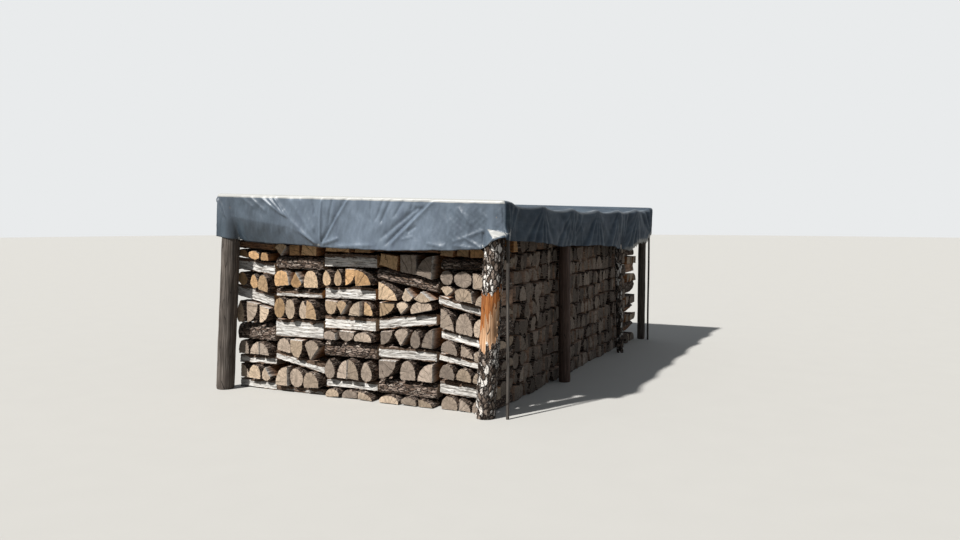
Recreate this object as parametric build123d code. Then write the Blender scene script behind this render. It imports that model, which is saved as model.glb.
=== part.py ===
"""Log store: a pole frame under a draped tarpaulin, stacked full of split firewood.

Lengths are in millimetres. X runs to the right along the front, Y from the front to the back and Z up.
The origin is on the ground under the middle of the tarpaulin.
"""

from build123d import *
import math
import os
import random

os.makedirs("parts", exist_ok=True)

# Tarpaulin
cover_width = 2840
cover_depth = 4800
cover_sheet = 4
side_clearance = 0.2
top_front_left = 1795
top_front_right = 1712
top_back_left = 1770
top_back_right = 1692
right_eave_sag = 50
left_eave_sag = 15
cover_drop = 400

# Poles of the roof
rafter_count = 7
rafter_radius = 42
rafter_end_gap = 8
plate_radius = 52
plate_end_gap = 12
left_plate_inset = 106
right_plate_inset = 120
seat_depth = 20
seat_clearance = 0.3

# Posts: where they stand, their radii, and how far each foot stands from under its head
post_clearance = 2
second_post_setback = 1710
third_post_setback = 3565
back_post_inset = 60
front_post_radius = 84
right_post_2_radius = 58
right_post_3_radius = 42
back_right_post_radius = 50
left_post_2_radius = 57
left_post_3_radius = 53
back_left_post_radius = 57
front_post_lean_y = -8
front_left_lean_x = -118
front_right_lean_x = -84
right_2_lean_x = 14
right_2_lean_y = -10
right_3_lean_x = 46
right_3_lean_y = 8
left_2_lean_x = -20
left_2_lean_y = 12
left_3_lean_x = -30
left_3_lean_y = -8
back_left_lean_x = -24
posts = {
    "front_left_post": ("left", "front", (front_left_lean_x, front_post_lean_y), front_post_radius),
    "front_right_post": ("right", "front", (front_right_lean_x, front_post_lean_y), front_post_radius),
    "right_post_2": ("right", "second", (right_2_lean_x, right_2_lean_y), right_post_2_radius),
    "right_post_3": ("right", "third", (right_3_lean_x, right_3_lean_y), right_post_3_radius),
    "back_right_post": ("right", "back", (0, 0), back_right_post_radius),
    "left_post_2": ("left", "second", (left_2_lean_x, left_2_lean_y), left_post_2_radius),
    "left_post_3": ("left", "third", (left_3_lean_x, left_3_lean_y), left_post_3_radius),
    "back_left_post": ("left", "back", (back_left_lean_x, 0), back_left_post_radius),
}

# Laths that stand beside the right-hand corner posts
lath_width = 20
lath_thickness = 21

# Firewood
log_length = 500
log_width = 152
right_log_width = 110
narrowest_log = 0.8
crib_depth = 500
column_widths = (435, 537, 554, 589, 503)
column_left_inset = 40
column_right_inset = 182
crib_gap = 0.5
front_face_inset = 176
back_face_inset = 90
end_course = 140
cross_course = 106
cross_course_width = 160
course_variation = 0.10
cross_tilt = 0.055
row_left_inset = 166
row_right_inset = 194
row_course = 138
row_wave = 10
row_wave_length = 1600
row_gap = 0.5
stack_top_left = 1470
stack_top_right = 1430
front_stack_height = 1426
log_gap = 0.3
settling_steps = 10
end_stagger = 26
end_flush = 8
front_chords = 3
far_chords = 2

# The front columns as they are stacked, from the left and from the ground up. Each course has its rise
# and its kind: logs that lie across, or logs with their ends to the front, with the slope of their top.
# The rises are in proportion, and the tallest column comes out at front_stack_height.
ACROSS = "across"
front_columns = (
    (
        (90, ACROSS),
        (135, 0, "quarter half wedge"),
        (95, ACROSS),
        (130, 0, "half quarter_right quarter"),
        (160, ACROSS),
        (200, -0.20, "wedge quarter_over quarter_over"),
        (125, ACROSS),
        (140, -0.13, "lens wedge half"),
        (125, ACROSS),
        (85, -0.05, "half round slab"),
        (85, ACROSS),
    ),
    (
        (60, ACROSS),
        (177, -0.19, "quarter_right round half"),
        (97, ACROSS),
        (160, 0, "half trough fan"),
        (182, ACROSS),
        (185, 0, "round round wedge quarter"),
        (95, ACROSS),
        (160, 0, "slab wedge half"),
        (120, ACROSS),
        (110, 0, "fan squared squared"),
        (80, ACROSS),
    ),
    (
        (80, 0, "half half quarter"),
        (95, ACROSS),
        (185, 0, "wedge quarter_right quarter wedge"),
        (150, ACROSS),
        (90, 0, "slab trough half"),
        (135, ACROSS),
        (133, 0, "trough fan quarter_right quarter"),
        (120, ACROSS),
        (157, 0, "wedge wedge quarter_over quarter"),
        (130, ACROSS),
        (135, 0, "squared squared squared"),
    ),
    (
        (75, 0, "half half quarter"),
        (135, ACROSS),
        (170, 0, "quarter_over half quarter_right"),
        (115, ACROSS),
        (160, 0.12, "quarter_over fan wedge quarter_right"),
        (115, ACROSS),
        (112, 0, "quarter_over fan half"),
        (124, -0.18, "quarter wedge wedge"),
        (110, ACROSS),
        (170, 0, "squared squared quarter_right"),
        (95, ACROSS),
    ),
    (
        (110, -0.05, "half quarter half"),
        (137, ACROSS),
        (113, -0.15, "half half half"),
        (80, ACROSS),
        (102, -0.18, "half quarter slab"),
        (92, ACROSS),
        (176, -0.22, "quarter half slab"),
        (88, ACROSS),
        (118, -0.10, "fan slab quarter_right"),
        (135, 0, "round round quarter"),
        (105, ACROSS),
        (100, 0, "squared squared quarter"),
    ),
)


def share(low, high, value):
    """Where value lies between low and high, from 0 to 1."""
    return (value - low) / (high - low)


# Places that follow from the sizes above
front_edge = -cover_depth / 2
back_edge = cover_depth / 2
front_face_y = front_edge + front_face_inset
back_face_y = back_edge - back_face_inset
row_left_face = -cover_width / 2 + row_left_inset
row_right_face = cover_width / 2 - row_right_inset
post_places = {
    "front": front_edge + cover_sheet + front_post_radius + post_clearance,
    "second": front_edge + second_post_setback,
    "third": front_edge + third_post_setback,
    "back": back_edge - cover_sheet - back_post_inset,
}
plate_places = {
    "left": -cover_width / 2 + left_plate_inset,
    "right": cover_width / 2 - right_plate_inset,
}


def eave_z(side, y):
    """Height of the tarpaulin's top edge on one long side."""
    front, back, sag = {
        "left": (top_front_left, top_back_left, left_eave_sag),
        "right": (top_front_right, top_back_right, right_eave_sag),
    }[side]
    t = share(front_edge, back_edge, y)
    return front + (back - front) * t - sag * 4 * t * (1 - t)


def top_z(x, y):
    """Height of the tarpaulin's top face."""
    t = share(-cover_width / 2, cover_width / 2, x)
    return eave_z("left", y) * (1 - t) + eave_z("right", y) * t


def rafter_z(x, y):
    """Height of a rafter's centre line, close under the tarpaulin."""
    return top_z(x, y) - cover_sheet - seat_clearance - rafter_radius


def plate_z(side, y):
    """Height of a plate's centre line: the rafters sit in it by the depth of their seats."""
    return rafter_z(plate_places[side], y) - rafter_radius - plate_radius + seat_depth


def plate_line(side):
    """The sagging centre line of a plate."""
    places = (front_edge + plate_end_gap, 0, back_edge - plate_end_gap)
    return ThreePointArc(*[(plate_places[side], y, plate_z(side, y)) for y in places])


def plate(side):
    """A long sagging pole that lies on the posts of one side."""
    line = plate_line(side)
    section = Plane(origin=line @ 0, z_dir=line % 0) * Circle(plate_radius)
    axis = Axis(line.arc_center, (1, 0, 0))
    return revolve(section, axis, math.degrees(line.length / line.radius))


def plate_seat(side, y, reach):
    """The space that a plate takes up where it passes one place, with its clearance."""
    line = plate_line(side)
    t = share(front_edge + plate_end_gap, back_edge - plate_end_gap, y)
    start = line @ t - line % t * reach
    return Solid.make_cylinder(plate_radius + seat_clearance, 2 * reach, Plane(origin=start, z_dir=line % t))


def rafter_y(index):
    end = back_edge - cover_sheet - rafter_end_gap - rafter_radius
    return -end + 2 * end * index / (rafter_count - 1)


def rafter(index):
    """A cross pole from edge to edge of the tarpaulin, with a seat for each plate."""
    y = rafter_y(index)
    reach = cover_width / 2 - cover_sheet - rafter_end_gap
    start = Vector(-reach, y, rafter_z(-reach, y))
    end = Vector(reach, y, rafter_z(reach, y))
    pole = Solid.make_cylinder(rafter_radius, (end - start).length, Plane(origin=start, z_dir=end - start))
    return pole - plate_seat("left", y, 2 * rafter_radius) - plate_seat("right", y, 2 * rafter_radius)


def post(side, place, lean, radius):
    """A leaning pole, cut level at the ground, that reaches up round the plate it carries."""
    y = post_places[place]
    head = Vector(plate_places[side], y, plate_z(side, y) - plate_radius + seat_depth)
    foot = Vector(head.X + lean[0], head.Y + lean[1], 0)
    start = foot - (head - foot).normalized() * radius
    frame = Plane(origin=start, x_dir=(0, 1, 0), z_dir=head - foot)
    pole = Solid.make_cylinder(radius, (head - start).length, frame)
    return pole.split(Plane.XY, keep=Keep.TOP) - plate_seat(side, y, 2 * radius)


def bark(centre, reach, start, stop, chords):
    """Chords of an elliptical bark arc, in the unit cell of a log's end."""
    points = []
    for i in range(chords + 1):
        angle = math.radians(start + (stop - start) * i / chords)
        points.append(
            (centre[0] + reach[0] * math.cos(angle), centre[1] + reach[1] * math.sin(angle))
        )
    return points


def quarter(chords):
    """Split twice through the middle, so that two flat faces meet at a right angle."""
    return [(0, 0)] + bark((0, 0), (1, 1), 0, 90, chords)


def wedge(chords):
    """A narrow split that stands on its bark."""
    return bark((0.5, 0.3), (0.5, 0.3), 180, 360, chords) + [(0.42, 1)]


def half(chords):
    """Split once, and lying on its flat face."""
    return [(0, 0), (1, 0)] + bark((0.5, 0.45), (0.5, 0.55), 8, 172, chords)


def lens(chords):
    """Split on both sides of the middle, with bark on two edges."""
    upper = bark((0.5, 0.15), (0.5, 0.85), 32, 148, chords)
    lower = bark((0.5, 0.85), (0.5, 0.85), 212, 328, chords)
    return upper + lower


def slab(chords):
    """An uneven split with no bark."""
    return [(0.03, 0), (1, 0.04), (0.93, 0.82), (0.34, 1), (0, 0.7)]


def squared(chords):
    """A nearly square billet."""
    return [(0, 0.03), (0.97, 0), (1, 0.94), (0.06, 1)]


def round_wood(chords):
    """A thin stem that was left whole."""
    sides = 2 * chords + 2
    return bark((0.5, 0.5), (0.5, 0.5), 180 / sides, 360 - 180 / sides, sides - 1)


def mirrored(points):
    return [(1 - u, v) for u, v in reversed(points)]


def turned_over(points):
    return [(u, 1 - v) for u, v in reversed(points)]


# Each kind of log end: how it is drawn, turned and mirrored, and its usual width against the others
log_ends = {
    "quarter": (quarter, False, False, 1.0),
    "quarter_right": (quarter, False, True, 1.0),
    "quarter_over": (quarter, True, False, 1.0),
    "wedge": (wedge, False, False, 0.85),
    "fan": (wedge, True, False, 0.95),
    "half": (half, False, False, 1.15),
    "trough": (half, True, False, 1.1),
    "lens": (lens, False, False, 1.2),
    "slab": (slab, False, False, 0.9),
    "squared": (squared, False, False, 1.0),
    "round": (round_wood, False, False, 1.0),
}
common_ends = ("quarter", "quarter_right", "quarter_over", "wedge", "fan", "half", "half", "trough", "slab", "squared")
# Those that turn a flat split face to the front when the log lies across
split_fronts = ("quarter", "quarter_over", "slab", "squared")


def outline(name, chords):
    """A log's end, spread over the whole of a unit cell."""
    draw, over, mirror, width = log_ends[name]
    points = draw(chords)
    if over:
        points = turned_over(points)
    if mirror:
        points = mirrored(points)
    across, up = zip(*points)
    return [(share(min(across), max(across), u), share(min(up), max(up), v)) for u, v in points]


def fit_outline(points, low, high, bottom, top):
    """Puts a unit outline between two places along a course, and between the lines under and over it."""
    fitted = []
    for u, v in points:
        under = bottom(low) + (bottom(high) - bottom(low)) * u
        over = top(low) + (top(high) - top(low)) * u
        fitted.append((low + (high - low) * u, under + (over - under) * v))
    return fitted


def staggered(rng, low, high):
    """The two ends of a log that stays a little inside its place, or just fills it."""
    insets = [max(0, rng.uniform(-end_flush, end_stagger)) for end in (low, high)]
    return low + insets[0], high - insets[1]


def prism(corners, way):
    """A straight log: its end outline, pushed along its length."""
    edge = [Vector(*c) for c in corners]
    return Solid.extrude(Face(Wire.make_polygon(edge, close=True)), Vector(*way))


def cells(rng, low, high, names):
    """The places along a course that its logs fill, side by side."""
    parts = [log_ends[name][3] * rng.uniform(narrowest_log, 2 - narrowest_log) for name in names]
    at = low
    for part in parts:
        width = (high - low) * part / sum(parts)
        yield at + log_gap / 2, at + width - log_gap / 2
        at += width


def random_ends(rng, width, mean):
    """A mixed course of logs that fills a width; some that come out about square are whole stems."""
    return [rng.choice(common_ends) for _ in range(max(2, round(width / mean)))]


def line(height, slope, centre):
    """A straight line between two courses of a crib."""
    return lambda x: height + slope * (x - centre)


def random_column(rng, width, across_first, top):
    """Courses for a column that the photograph does not show."""
    courses = []
    height, across = 0, across_first
    while True:
        rise = (cross_course if across else end_course) * rng.uniform(1 - course_variation, 1 + course_variation)
        if height + rise > top:
            return courses
        if across:
            courses.append((rise, ACROSS))
        else:
            names = " ".join(random_ends(rng, width, log_width))
            courses.append((rise, rng.uniform(-cross_tilt, cross_tilt), names))
        height, across = height + rise, not across


def crib(rng, low_x, high_x, low_y, high_y, courses, chords):
    """A column of crossed courses that holds up the end of a row."""
    logs = []
    centre = (low_x + high_x) / 2
    height, slope, below = 0, 0, []
    for rise, *course in courses:
        across = course == [ACROSS]
        top_slope = slope if across else course[0]
        bottom = line(height, slope, centre)
        top = line(height + rise - log_gap, top_slope, centre)
        if across:
            names = [rng.choice(split_fronts)] + random_ends(rng, crib_depth, cross_course_width)[1:]
            for name, (low, high) in zip(names, cells(rng, low_y + end_stagger, high_y - end_stagger, names)):
                start, stop = staggered(rng, low_x, high_x)
                level = line(bottom(start), 0, 0), line(top(start), 0, 0)
                fitted = fit_outline(outline(name, chords), low, high, *level)
                logs.append(prism([(start, y, z) for y, z in fitted], (stop - start, 0, slope * (stop - start))))
            below = []
        else:
            names = course[1].split()
            placed = []
            for name, (low, high) in zip(names, cells(rng, low_x + end_stagger, high_x - end_stagger, names)):
                start, stop = staggered(rng, low_y, high_y)
                fitted = settle(outline(name, chords), low, high, bottom, top, below)
                logs.append(prism([(x, start, z) for x, z in fitted], (0, stop - start, 0)))
                placed.append(fitted)
            below = placed
        height, slope = height + rise, top_slope
    return logs


def height_at(points, along, pick):
    """The lowest or highest height of a log's outline at one place along its course."""
    heights = []
    for (a, start), (b, stop) in zip(points, points[1:] + points[:1]):
        if a == b == along:
            heights += [start, stop]
        elif a != b and min(a, b) <= along <= max(a, b):
            heights.append(start + (stop - start) * share(a, b, along))
    return pick(heights)


def headroom(points, below):
    """How far a log can sink before it rests on the logs under it that lie the same way."""
    low, high = min(a for a, z in points), max(a for a, z in points)
    gaps = []
    for other in below:
        left = max(low, min(a for a, z in other))
        right = min(high, max(a for a, z in other))
        if left < right:
            places = [a for a, z in points + other if left < a < right] + [left, right]
            gaps += [height_at(points, a, min) - height_at(other, a, max) for a in places]
    return min(gaps) - log_gap if gaps else 0


def settle(outline, low, high, bottom, top, below):
    """Fits an outline under its course's top line, and sinks its foot until it rests."""
    sunk = 0
    for step in range(settling_steps):
        fitted = fit_outline(outline, low, high, lambda along: bottom(along) - sunk, top)
        sunk += headroom(fitted, below)
    return fitted


def wavy_line(height, wave, phase):
    """A gently uneven line between two courses of a long row."""
    turn = 2 * math.pi / row_wave_length
    return lambda y: height + wave * math.sin(turn * y + phase)


def row(rng, low_x, high_x, low_y, high_y, top, width, chords):
    """A long row of logs that lie across the store, with their ends on its side."""
    logs = []
    courses = round(top / row_course)
    bottom, below = wavy_line(0, 0, 0), []
    for index in range(courses):
        over = wavy_line((index + 1) * top / courses, row_wave, rng.uniform(0, 2 * math.pi))
        names = random_ends(rng, high_y - low_y, width)
        placed = []
        for name, (low, high) in zip(names, cells(rng, low_y, high_y, names)):
            start, stop = staggered(rng, low_x, high_x)
            if name in ("slab", "squared") and rng.random() < 0.5:
                name = "round"
            fitted = settle(outline(name, chords), low, high, bottom, over, below)
            logs.append(prism([(start, y, z) for y, z in fitted], (stop - start, 0, 0)))
            placed.append(fitted)
        bottom, below = over, placed
    return logs


def column_edges():
    """The places of the joints between the columns, from the left."""
    low, high = -cover_width / 2 + column_left_inset, cover_width / 2 - column_right_inset
    return [low + (high - low) * sum(column_widths[:i]) / sum(column_widths) for i in range(len(column_widths) + 1)]


def in_bay(log, low, high):
    return low <= log.center().Y < high


def cover_top():
    """The tarpaulin's top: level cuts over each rafter, joined from front to back."""
    half_width = cover_width / 2
    places = [front_edge] + [rafter_y(i) for i in range(1, rafter_count - 1)] + [back_edge]
    sections = []
    for y in places:
        corners = [(-half_width, y, eave_z("left", y)), (half_width, y, eave_z("right", y))]
        corners += [(x, y, z - cover_sheet) for x, y, z in reversed(corners)]
        sections.append(Face(Wire.make_polygon([Vector(*c) for c in corners], close=True)))
    return loft(sections, ruled=True)


# The hem of each side from one end to the other: shares of the side's length and of the usual drop
hems = {
    "front": [(0, 0.9625), (0.09, 1.0625), (0.49, 1.1), (0.7, 1.0625), (0.925, 0.9625), (1, 0.6875)],
    "right": [(0, 0.755), (0.17, 0.785), (0.28, 0.8775), (0.51, 0.9025), (0.635, 0.995), (0.8, 1.2125),
              (0.86, 1.0375), (0.95, 1.06), (1, 0.8)],
    "back": [(0, 0.8), (0.3, 1.025), (0.7, 1.05), (1, 0.85)],
    "left": [(0, 0.9625), (0.35, 1.025), (0.75, 0.9875), (1, 0.85)],
}


def hanging_side(side):
    """One hanging side, just under the top sheet and flush with its edge."""
    half_width = cover_width / 2
    if side in ("front", "back"):
        edge = front_edge if side == "front" else back_edge
        y = edge if side == "front" else edge - cover_sheet
        run = half_width - cover_sheet
        upper = [(x, y, top_z(x, edge) - cover_sheet - side_clearance) for x in (-run, run)]
        ends = [(-run + 2 * run * t, cover_drop * d) for t, d in hems[side]]
        lower = [(x, y, top_z(x, edge) - drop) for x, drop in ends]
        return prism(upper + lower[::-1], (0, cover_sheet, 0))
    x = -half_width if side == "left" else half_width - cover_sheet
    places = [front_edge] + [rafter_y(i) for i in range(1, rafter_count - 1)] + [back_edge]
    upper = [(x, y, eave_z(side, y) - cover_sheet - side_clearance) for y in places]
    ends = [(front_edge + cover_depth * t, cover_drop * d) for t, d in hems[side]]
    lower = [(x, y, eave_z(side, y) - drop) for y, drop in ends]
    return prism(upper + lower[::-1], (cover_sheet, 0, 0))


def lath(place):
    """A thin upright lath behind the end of the first rafter, or in front of the last."""
    reach = cover_width / 2 - cover_sheet - rafter_end_gap
    index, way = (0, 1) if place == "front" else (rafter_count - 1, -1)
    y = rafter_y(index) + way * (rafter_radius + seat_clearance + lath_thickness / 2)
    height = rafter_z(reach, rafter_y(index))
    middle = Vector(reach - lath_width / 2, y, height / 2)
    return Pos(*middle) * Box(lath_width, lath_thickness, height)


def row_run():
    """Where the long rows start and stop, between the columns at their ends."""
    return front_face_y + crib_depth + crib_gap, back_face_y - crib_depth - crib_gap


def inner_row(index):
    """One of the rows that the outer ones hide, as the block that its logs fill."""
    low = row_left_face + log_length + row_gap
    high = row_right_face - log_length - row_gap
    inner_rows = len(column_widths) - 2
    width = (high - low) / inner_rows
    start, stop = row_run()
    top = stack_top_left + (stack_top_right - stack_top_left) * (index + 1) / (inner_rows + 1)
    x = low + width * index
    return Pos(x + width / 2, (start + stop) / 2, top / 2) * Box(width - row_gap, stop - start, top)


def build():
    """Every piece of the store, by the name of its node."""
    pieces = {}
    for name, place in posts.items():
        pieces[name] = post(*place)
    for side in ("left", "right"):
        pieces[side + "_plate"] = plate(side)
    for index in range(rafter_count):
        pieces["rafter_%d" % (index + 1)] = rafter(index)
    pieces["front_lath"] = lath("front")
    pieces["back_lath"] = lath("back")

    columns = len(column_widths)
    tallest = max(sum(course[0] for course in column) for column in front_columns)
    for end in ("front", "back"):
        rng = random.Random("cribs " + end)
        low_y = front_face_y if end == "front" else back_face_y - crib_depth
        edges = column_edges()
        if end == "back":
            # The first column leaves room for the post beside it.
            edges[0] = row_left_face
        for column in range(columns):
            low_x = edges[column] + crib_gap / 2
            high_x = edges[column + 1] - crib_gap / 2
            if end == "front":
                courses, chords = front_columns[column], front_chords
                courses = [(rise * front_stack_height / tallest, *course) for rise, *course in courses]
            else:
                top = stack_top_left + (stack_top_right - stack_top_left) * column / (columns - 1)
                courses = random_column(rng, high_x - low_x, column % 2 == 0, top)
                chords = far_chords
            logs = crib(rng, low_x, high_x, low_y, low_y + crib_depth, courses, chords)
            pieces["%s_crib_%d" % (end, column + 1)] = Compound(logs)

    bays = {
        "front_bay": (front_edge, post_places["second"]),
        "middle_bay": (post_places["second"], post_places["third"]),
        "back_bay": (post_places["third"], back_edge),
    }
    for side in ("left", "right"):
        rng = random.Random("row " + side)
        if side == "left":
            place, size = (row_left_face, row_left_face + log_length), (stack_top_left, log_width)
        else:
            place, size = (row_right_face - log_length, row_right_face), (stack_top_right, right_log_width)
        logs = row(rng, *place, *row_run(), *size, far_chords)
        for bay, (low, high) in bays.items():
            pieces["%s_row_%s" % (side, bay)] = Compound([g for g in logs if in_bay(g, low, high)])
    for index in range(columns - 2):
        pieces["inner_row_%d" % (index + 1)] = inner_row(index)

    pieces["cover_top"] = cover_top()
    for side in ("front", "right", "back", "left"):
        pieces["cover_%s_side" % side] = hanging_side(side)
    return pieces


pieces = build()
for name, piece in pieces.items():
    export_step(piece, "parts/%s.step" % name)
print(len(pieces), "nodes,", sum(len(p.solids()) for p in pieces.values()), "solids")
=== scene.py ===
"""Looks for a log store: a frame of poles under a draped tarpaulin, stacked full of split firewood.

Lengths are in metres. X runs to the right along the front, Y from the front to the back and Z up.
"""

import math
import random

import bmesh
import bpy
import numpy as np
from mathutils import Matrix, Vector
from mathutils.geometry import delaunay_2d_cdt


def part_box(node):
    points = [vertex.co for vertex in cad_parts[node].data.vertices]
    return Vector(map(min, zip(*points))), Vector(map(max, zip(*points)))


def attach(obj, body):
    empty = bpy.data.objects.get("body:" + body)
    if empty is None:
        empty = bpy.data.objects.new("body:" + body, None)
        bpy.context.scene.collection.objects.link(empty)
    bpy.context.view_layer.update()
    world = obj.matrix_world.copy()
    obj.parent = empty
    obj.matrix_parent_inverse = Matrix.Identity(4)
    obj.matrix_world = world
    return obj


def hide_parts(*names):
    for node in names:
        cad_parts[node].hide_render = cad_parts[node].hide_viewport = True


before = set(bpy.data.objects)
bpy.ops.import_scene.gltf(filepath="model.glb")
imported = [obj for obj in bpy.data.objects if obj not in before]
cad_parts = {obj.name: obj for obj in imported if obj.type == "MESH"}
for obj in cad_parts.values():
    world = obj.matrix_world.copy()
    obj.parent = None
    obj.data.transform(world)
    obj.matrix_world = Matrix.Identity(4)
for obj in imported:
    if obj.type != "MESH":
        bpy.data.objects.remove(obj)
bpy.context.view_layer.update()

bl_info = {
    "name": "Log store",
    "version": (1, 0, 0),
    "blender": (4, 5, 0),
    "location": "3D View > Sidebar > Log store",
    "description": "Dresses a log store: split firewood, pole frame and tarpaulin",
    "category": "Object",
}

COVER_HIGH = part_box("cover_top")[1]
HALF_WIDTH, HALF_DEPTH = COVER_HIGH.x, COVER_HIGH.y

POSTS = sorted(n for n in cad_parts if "post" in n)
RAFTERS = ["rafter_%d" % (i + 1) for i in range(7)]
LATHS = ("front_lath", "back_lath")

# Each side's outward way: its axis, 0 for X and 1 for Y, and its sign
FACING = {"front": (1, -1), "right": (0, 1), "back": (1, 1), "left": (0, -1)}


# Materials: patterns follow the logs' and poles' grain, the cloth's map or the object's coordinates

def linear(hex_colour):
    """An sRGB hex colour as linear red, green, blue and alpha."""
    values = [int(hex_colour[i:i + 2], 16) / 255 for i in (1, 3, 5)]
    return [v / 12.92 if v <= 0.04045 else ((v + 0.055) / 1.055) ** 2.4 for v in values] + [1.0]


def add(tree, kind, inputs=None, stops=None, **settings):
    """Adds a node with its settings. An input is linked where it is given a node or a socket."""
    node = tree.nodes.new(kind)
    for name, value in settings.items():
        setattr(node, name, value)
    for key, value in (inputs or {}).items():
        if isinstance(value, bpy.types.Node):
            value = value.outputs[0]
        if isinstance(value, bpy.types.NodeSocket):
            tree.links.new(value, node.inputs[key])
        else:
            node.inputs[key].default_value = value
    if stops:
        elements = node.color_ramp.elements
        while len(elements) < len(stops):
            elements.new(1.0)
        for element, (place, colour) in zip(elements, stops):
            element.position = place
            element.color = linear(colour)
    return node


class Paint:
    """One material. Each method adds a node and gives its output."""

    def __init__(self, name):
        self.material = bpy.data.materials.new(name)
        self.material.use_nodes = True
        self.tree = self.material.node_tree
        self.tree.nodes.clear()

    def place(self):
        return add(self.tree, "ShaderNodeTexCoord").outputs["Object"]

    def attribute(self, name, output="Fac"):
        return add(self.tree, "ShaderNodeAttribute", attribute_name=name).outputs[output]

    def parts(self, vector):
        return add(self.tree, "ShaderNodeSeparateXYZ", {0: vector}).outputs

    def joined(self, x, y, z):
        return add(self.tree, "ShaderNodeCombineXYZ", {0: x, 1: y, 2: z}).outputs[0]

    def calc(self, operation, *values, **settings):
        inputs = dict(enumerate(values))
        return add(self.tree, "ShaderNodeMath", inputs, operation=operation, **settings).outputs[0]

    def moved(self, by, factors, place):
        """The place, moved by the factors times a value."""
        inputs = {0: by, 1: factors, 2: place}
        return add(self.tree, "ShaderNodeVectorMath", inputs, operation="MULTIPLY_ADD").outputs[0]

    def scaled(self, place, *scale):
        return add(self.tree, "ShaderNodeMapping", {"Vector": place, "Scale": scale}).outputs[0]

    def noise(self, place, scale, detail, roughness=0.5, output=0):
        inputs = {"Vector": place, "Scale": scale, "Detail": detail, "Roughness": roughness}
        return add(self.tree, "ShaderNodeTexNoise", inputs).outputs[output]

    def cells(self, place, scale, output="Distance"):
        """Irregular cells: how far the middle of each is, or a colour of its own."""
        return add(self.tree, "ShaderNodeTexVoronoi", {"Vector": place, "Scale": scale}).outputs[output]

    def borders(self, place, scale):
        """How far the nearest border between two irregular cells is."""
        inputs = {"Vector": place, "Scale": scale}
        return add(self.tree, "ShaderNodeTexVoronoi", inputs, feature="DISTANCE_TO_EDGE").outputs[0]

    def remap(self, value, low, high, at_low, at_high):
        inputs = {0: value, 1: low, 2: high, 3: at_low, 4: at_high}
        return add(self.tree, "ShaderNodeMapRange", inputs).outputs[0]

    def ramp(self, value, *stops):
        return add(self.tree, "ShaderNodeValToRGB", {0: value}, stops=stops).outputs[0]

    def mix(self, share, one, other, blend="MIX"):
        other = linear(other) if isinstance(other, str) else other
        inputs = {0: share, 6: one, 7: other}
        return add(self.tree, "ShaderNodeMix", inputs, data_type="RGBA", blend_type=blend).outputs[2]

    def toned(self, colour, tone):
        """The colour, darker where the tone is under 1 and lighter where it is over 1."""
        return self.mix(1.0, colour, tone, "MULTIPLY")

    def log_grain(self, factors):
        """Places along and across the grain, moved by each log's own chance, and that chance."""
        chance = self.parts(self.attribute("look", "Color"))[1]
        return self.moved(chance, factors, self.attribute("grain", "Vector")), chance

    def finish(self, colour, roughness, height, depth, specular=0.5, metallic=0.0):
        """Closes the material with one principled shader and its bump, which is depth metres deep."""
        bump = add(self.tree, "ShaderNodeBump", {"Distance": depth, "Height": height})
        shader = add(self.tree, "ShaderNodeBsdfPrincipled", {
            "Base Color": colour, "Roughness": roughness, "Specular IOR Level": specular,
            "Metallic": metallic, "Normal": bump})
        add(self.tree, "ShaderNodeOutputMaterial", {"Surface": shader})


def end_grain_material():
    """Sawn firewood end: growth rings and drying cracks that run out from the pith. New cuts are ochre, and
    old ones have dried to a matt grey brown."""
    paint = Paint("firewood_end_grain_sawn")
    age, chance, _ = paint.parts(paint.attribute("look", "Color"))
    _, across, up = paint.parts(paint.attribute("grain", "Vector"))
    seed = paint.calc("MULTIPLY", chance, 37.0)
    flat = paint.joined(seed, across, up)
    wobble = paint.noise(flat, 22.0, 3.0)
    from_pith = paint.joined(0.0, across, up)
    radius = add(paint.tree, "ShaderNodeVectorMath", {0: from_pith}, operation="LENGTH").outputs["Value"]
    uneven = paint.calc("MULTIPLY_ADD", wobble, 0.010, radius)
    # Growth rings are 2 to 3 mm wide: drawn 6 mm apart, so that they show.
    rings = paint.calc("SINE", paint.calc("MULTIPLY", uneven, 2 * math.pi / 0.006))
    swing = paint.calc("MULTIPLY_ADD", wobble, 0.35, paint.calc("ARCTAN2", up, across))
    turned = paint.calc("ADD", swing, seed)
    wide, fine = [add(paint.tree, "ShaderNodeTexVoronoi", {"W": turned, "Scale": scale},
                      voronoi_dimensions="1D", feature="DISTANCE_TO_EDGE") for scale in (1.9, 7.0)]
    cracks = paint.calc("MAXIMUM", paint.remap(wide, 0.010, 0.036, 0.85, 0.0),
                        paint.remap(fine, 0.0, 0.10, 0.38, 0.0))
    # The darkest stop, which the long rows take, is old grey wood darkened further as painted shade.
    cut = paint.ramp(age, (0.0, "#D8A774"), (0.25, "#DDB88C"), (0.5, "#D0BAA1"), (0.75, "#BBAA9A"),
                     (1.0, "#6E635A"))
    # Each log dried in its own way, so its end is lighter or darker than its neighbours'.
    own = paint.remap(paint.calc("FRACT", paint.calc("MULTIPLY", chance, 7.31)), 0.0, 1.0, 0.56, 1.28)
    stain = paint.noise(flat, 34.0, 5.0, 0.65)
    toned = paint.toned(cut, paint.calc("MULTIPLY", paint.remap(stain, 0.35, 0.68, 0.62, 1.12), own))
    ringed = paint.toned(toned, paint.remap(rings, -1.0, 1.0, 0.86, 1.05))
    cracked = paint.mix(cracks, ringed, "#2E221A")
    height = paint.calc("MULTIPLY_ADD", cracks, -1.6, stain)
    paint.finish(cracked, 0.9, height, 0.003, specular=0.2)


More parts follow.
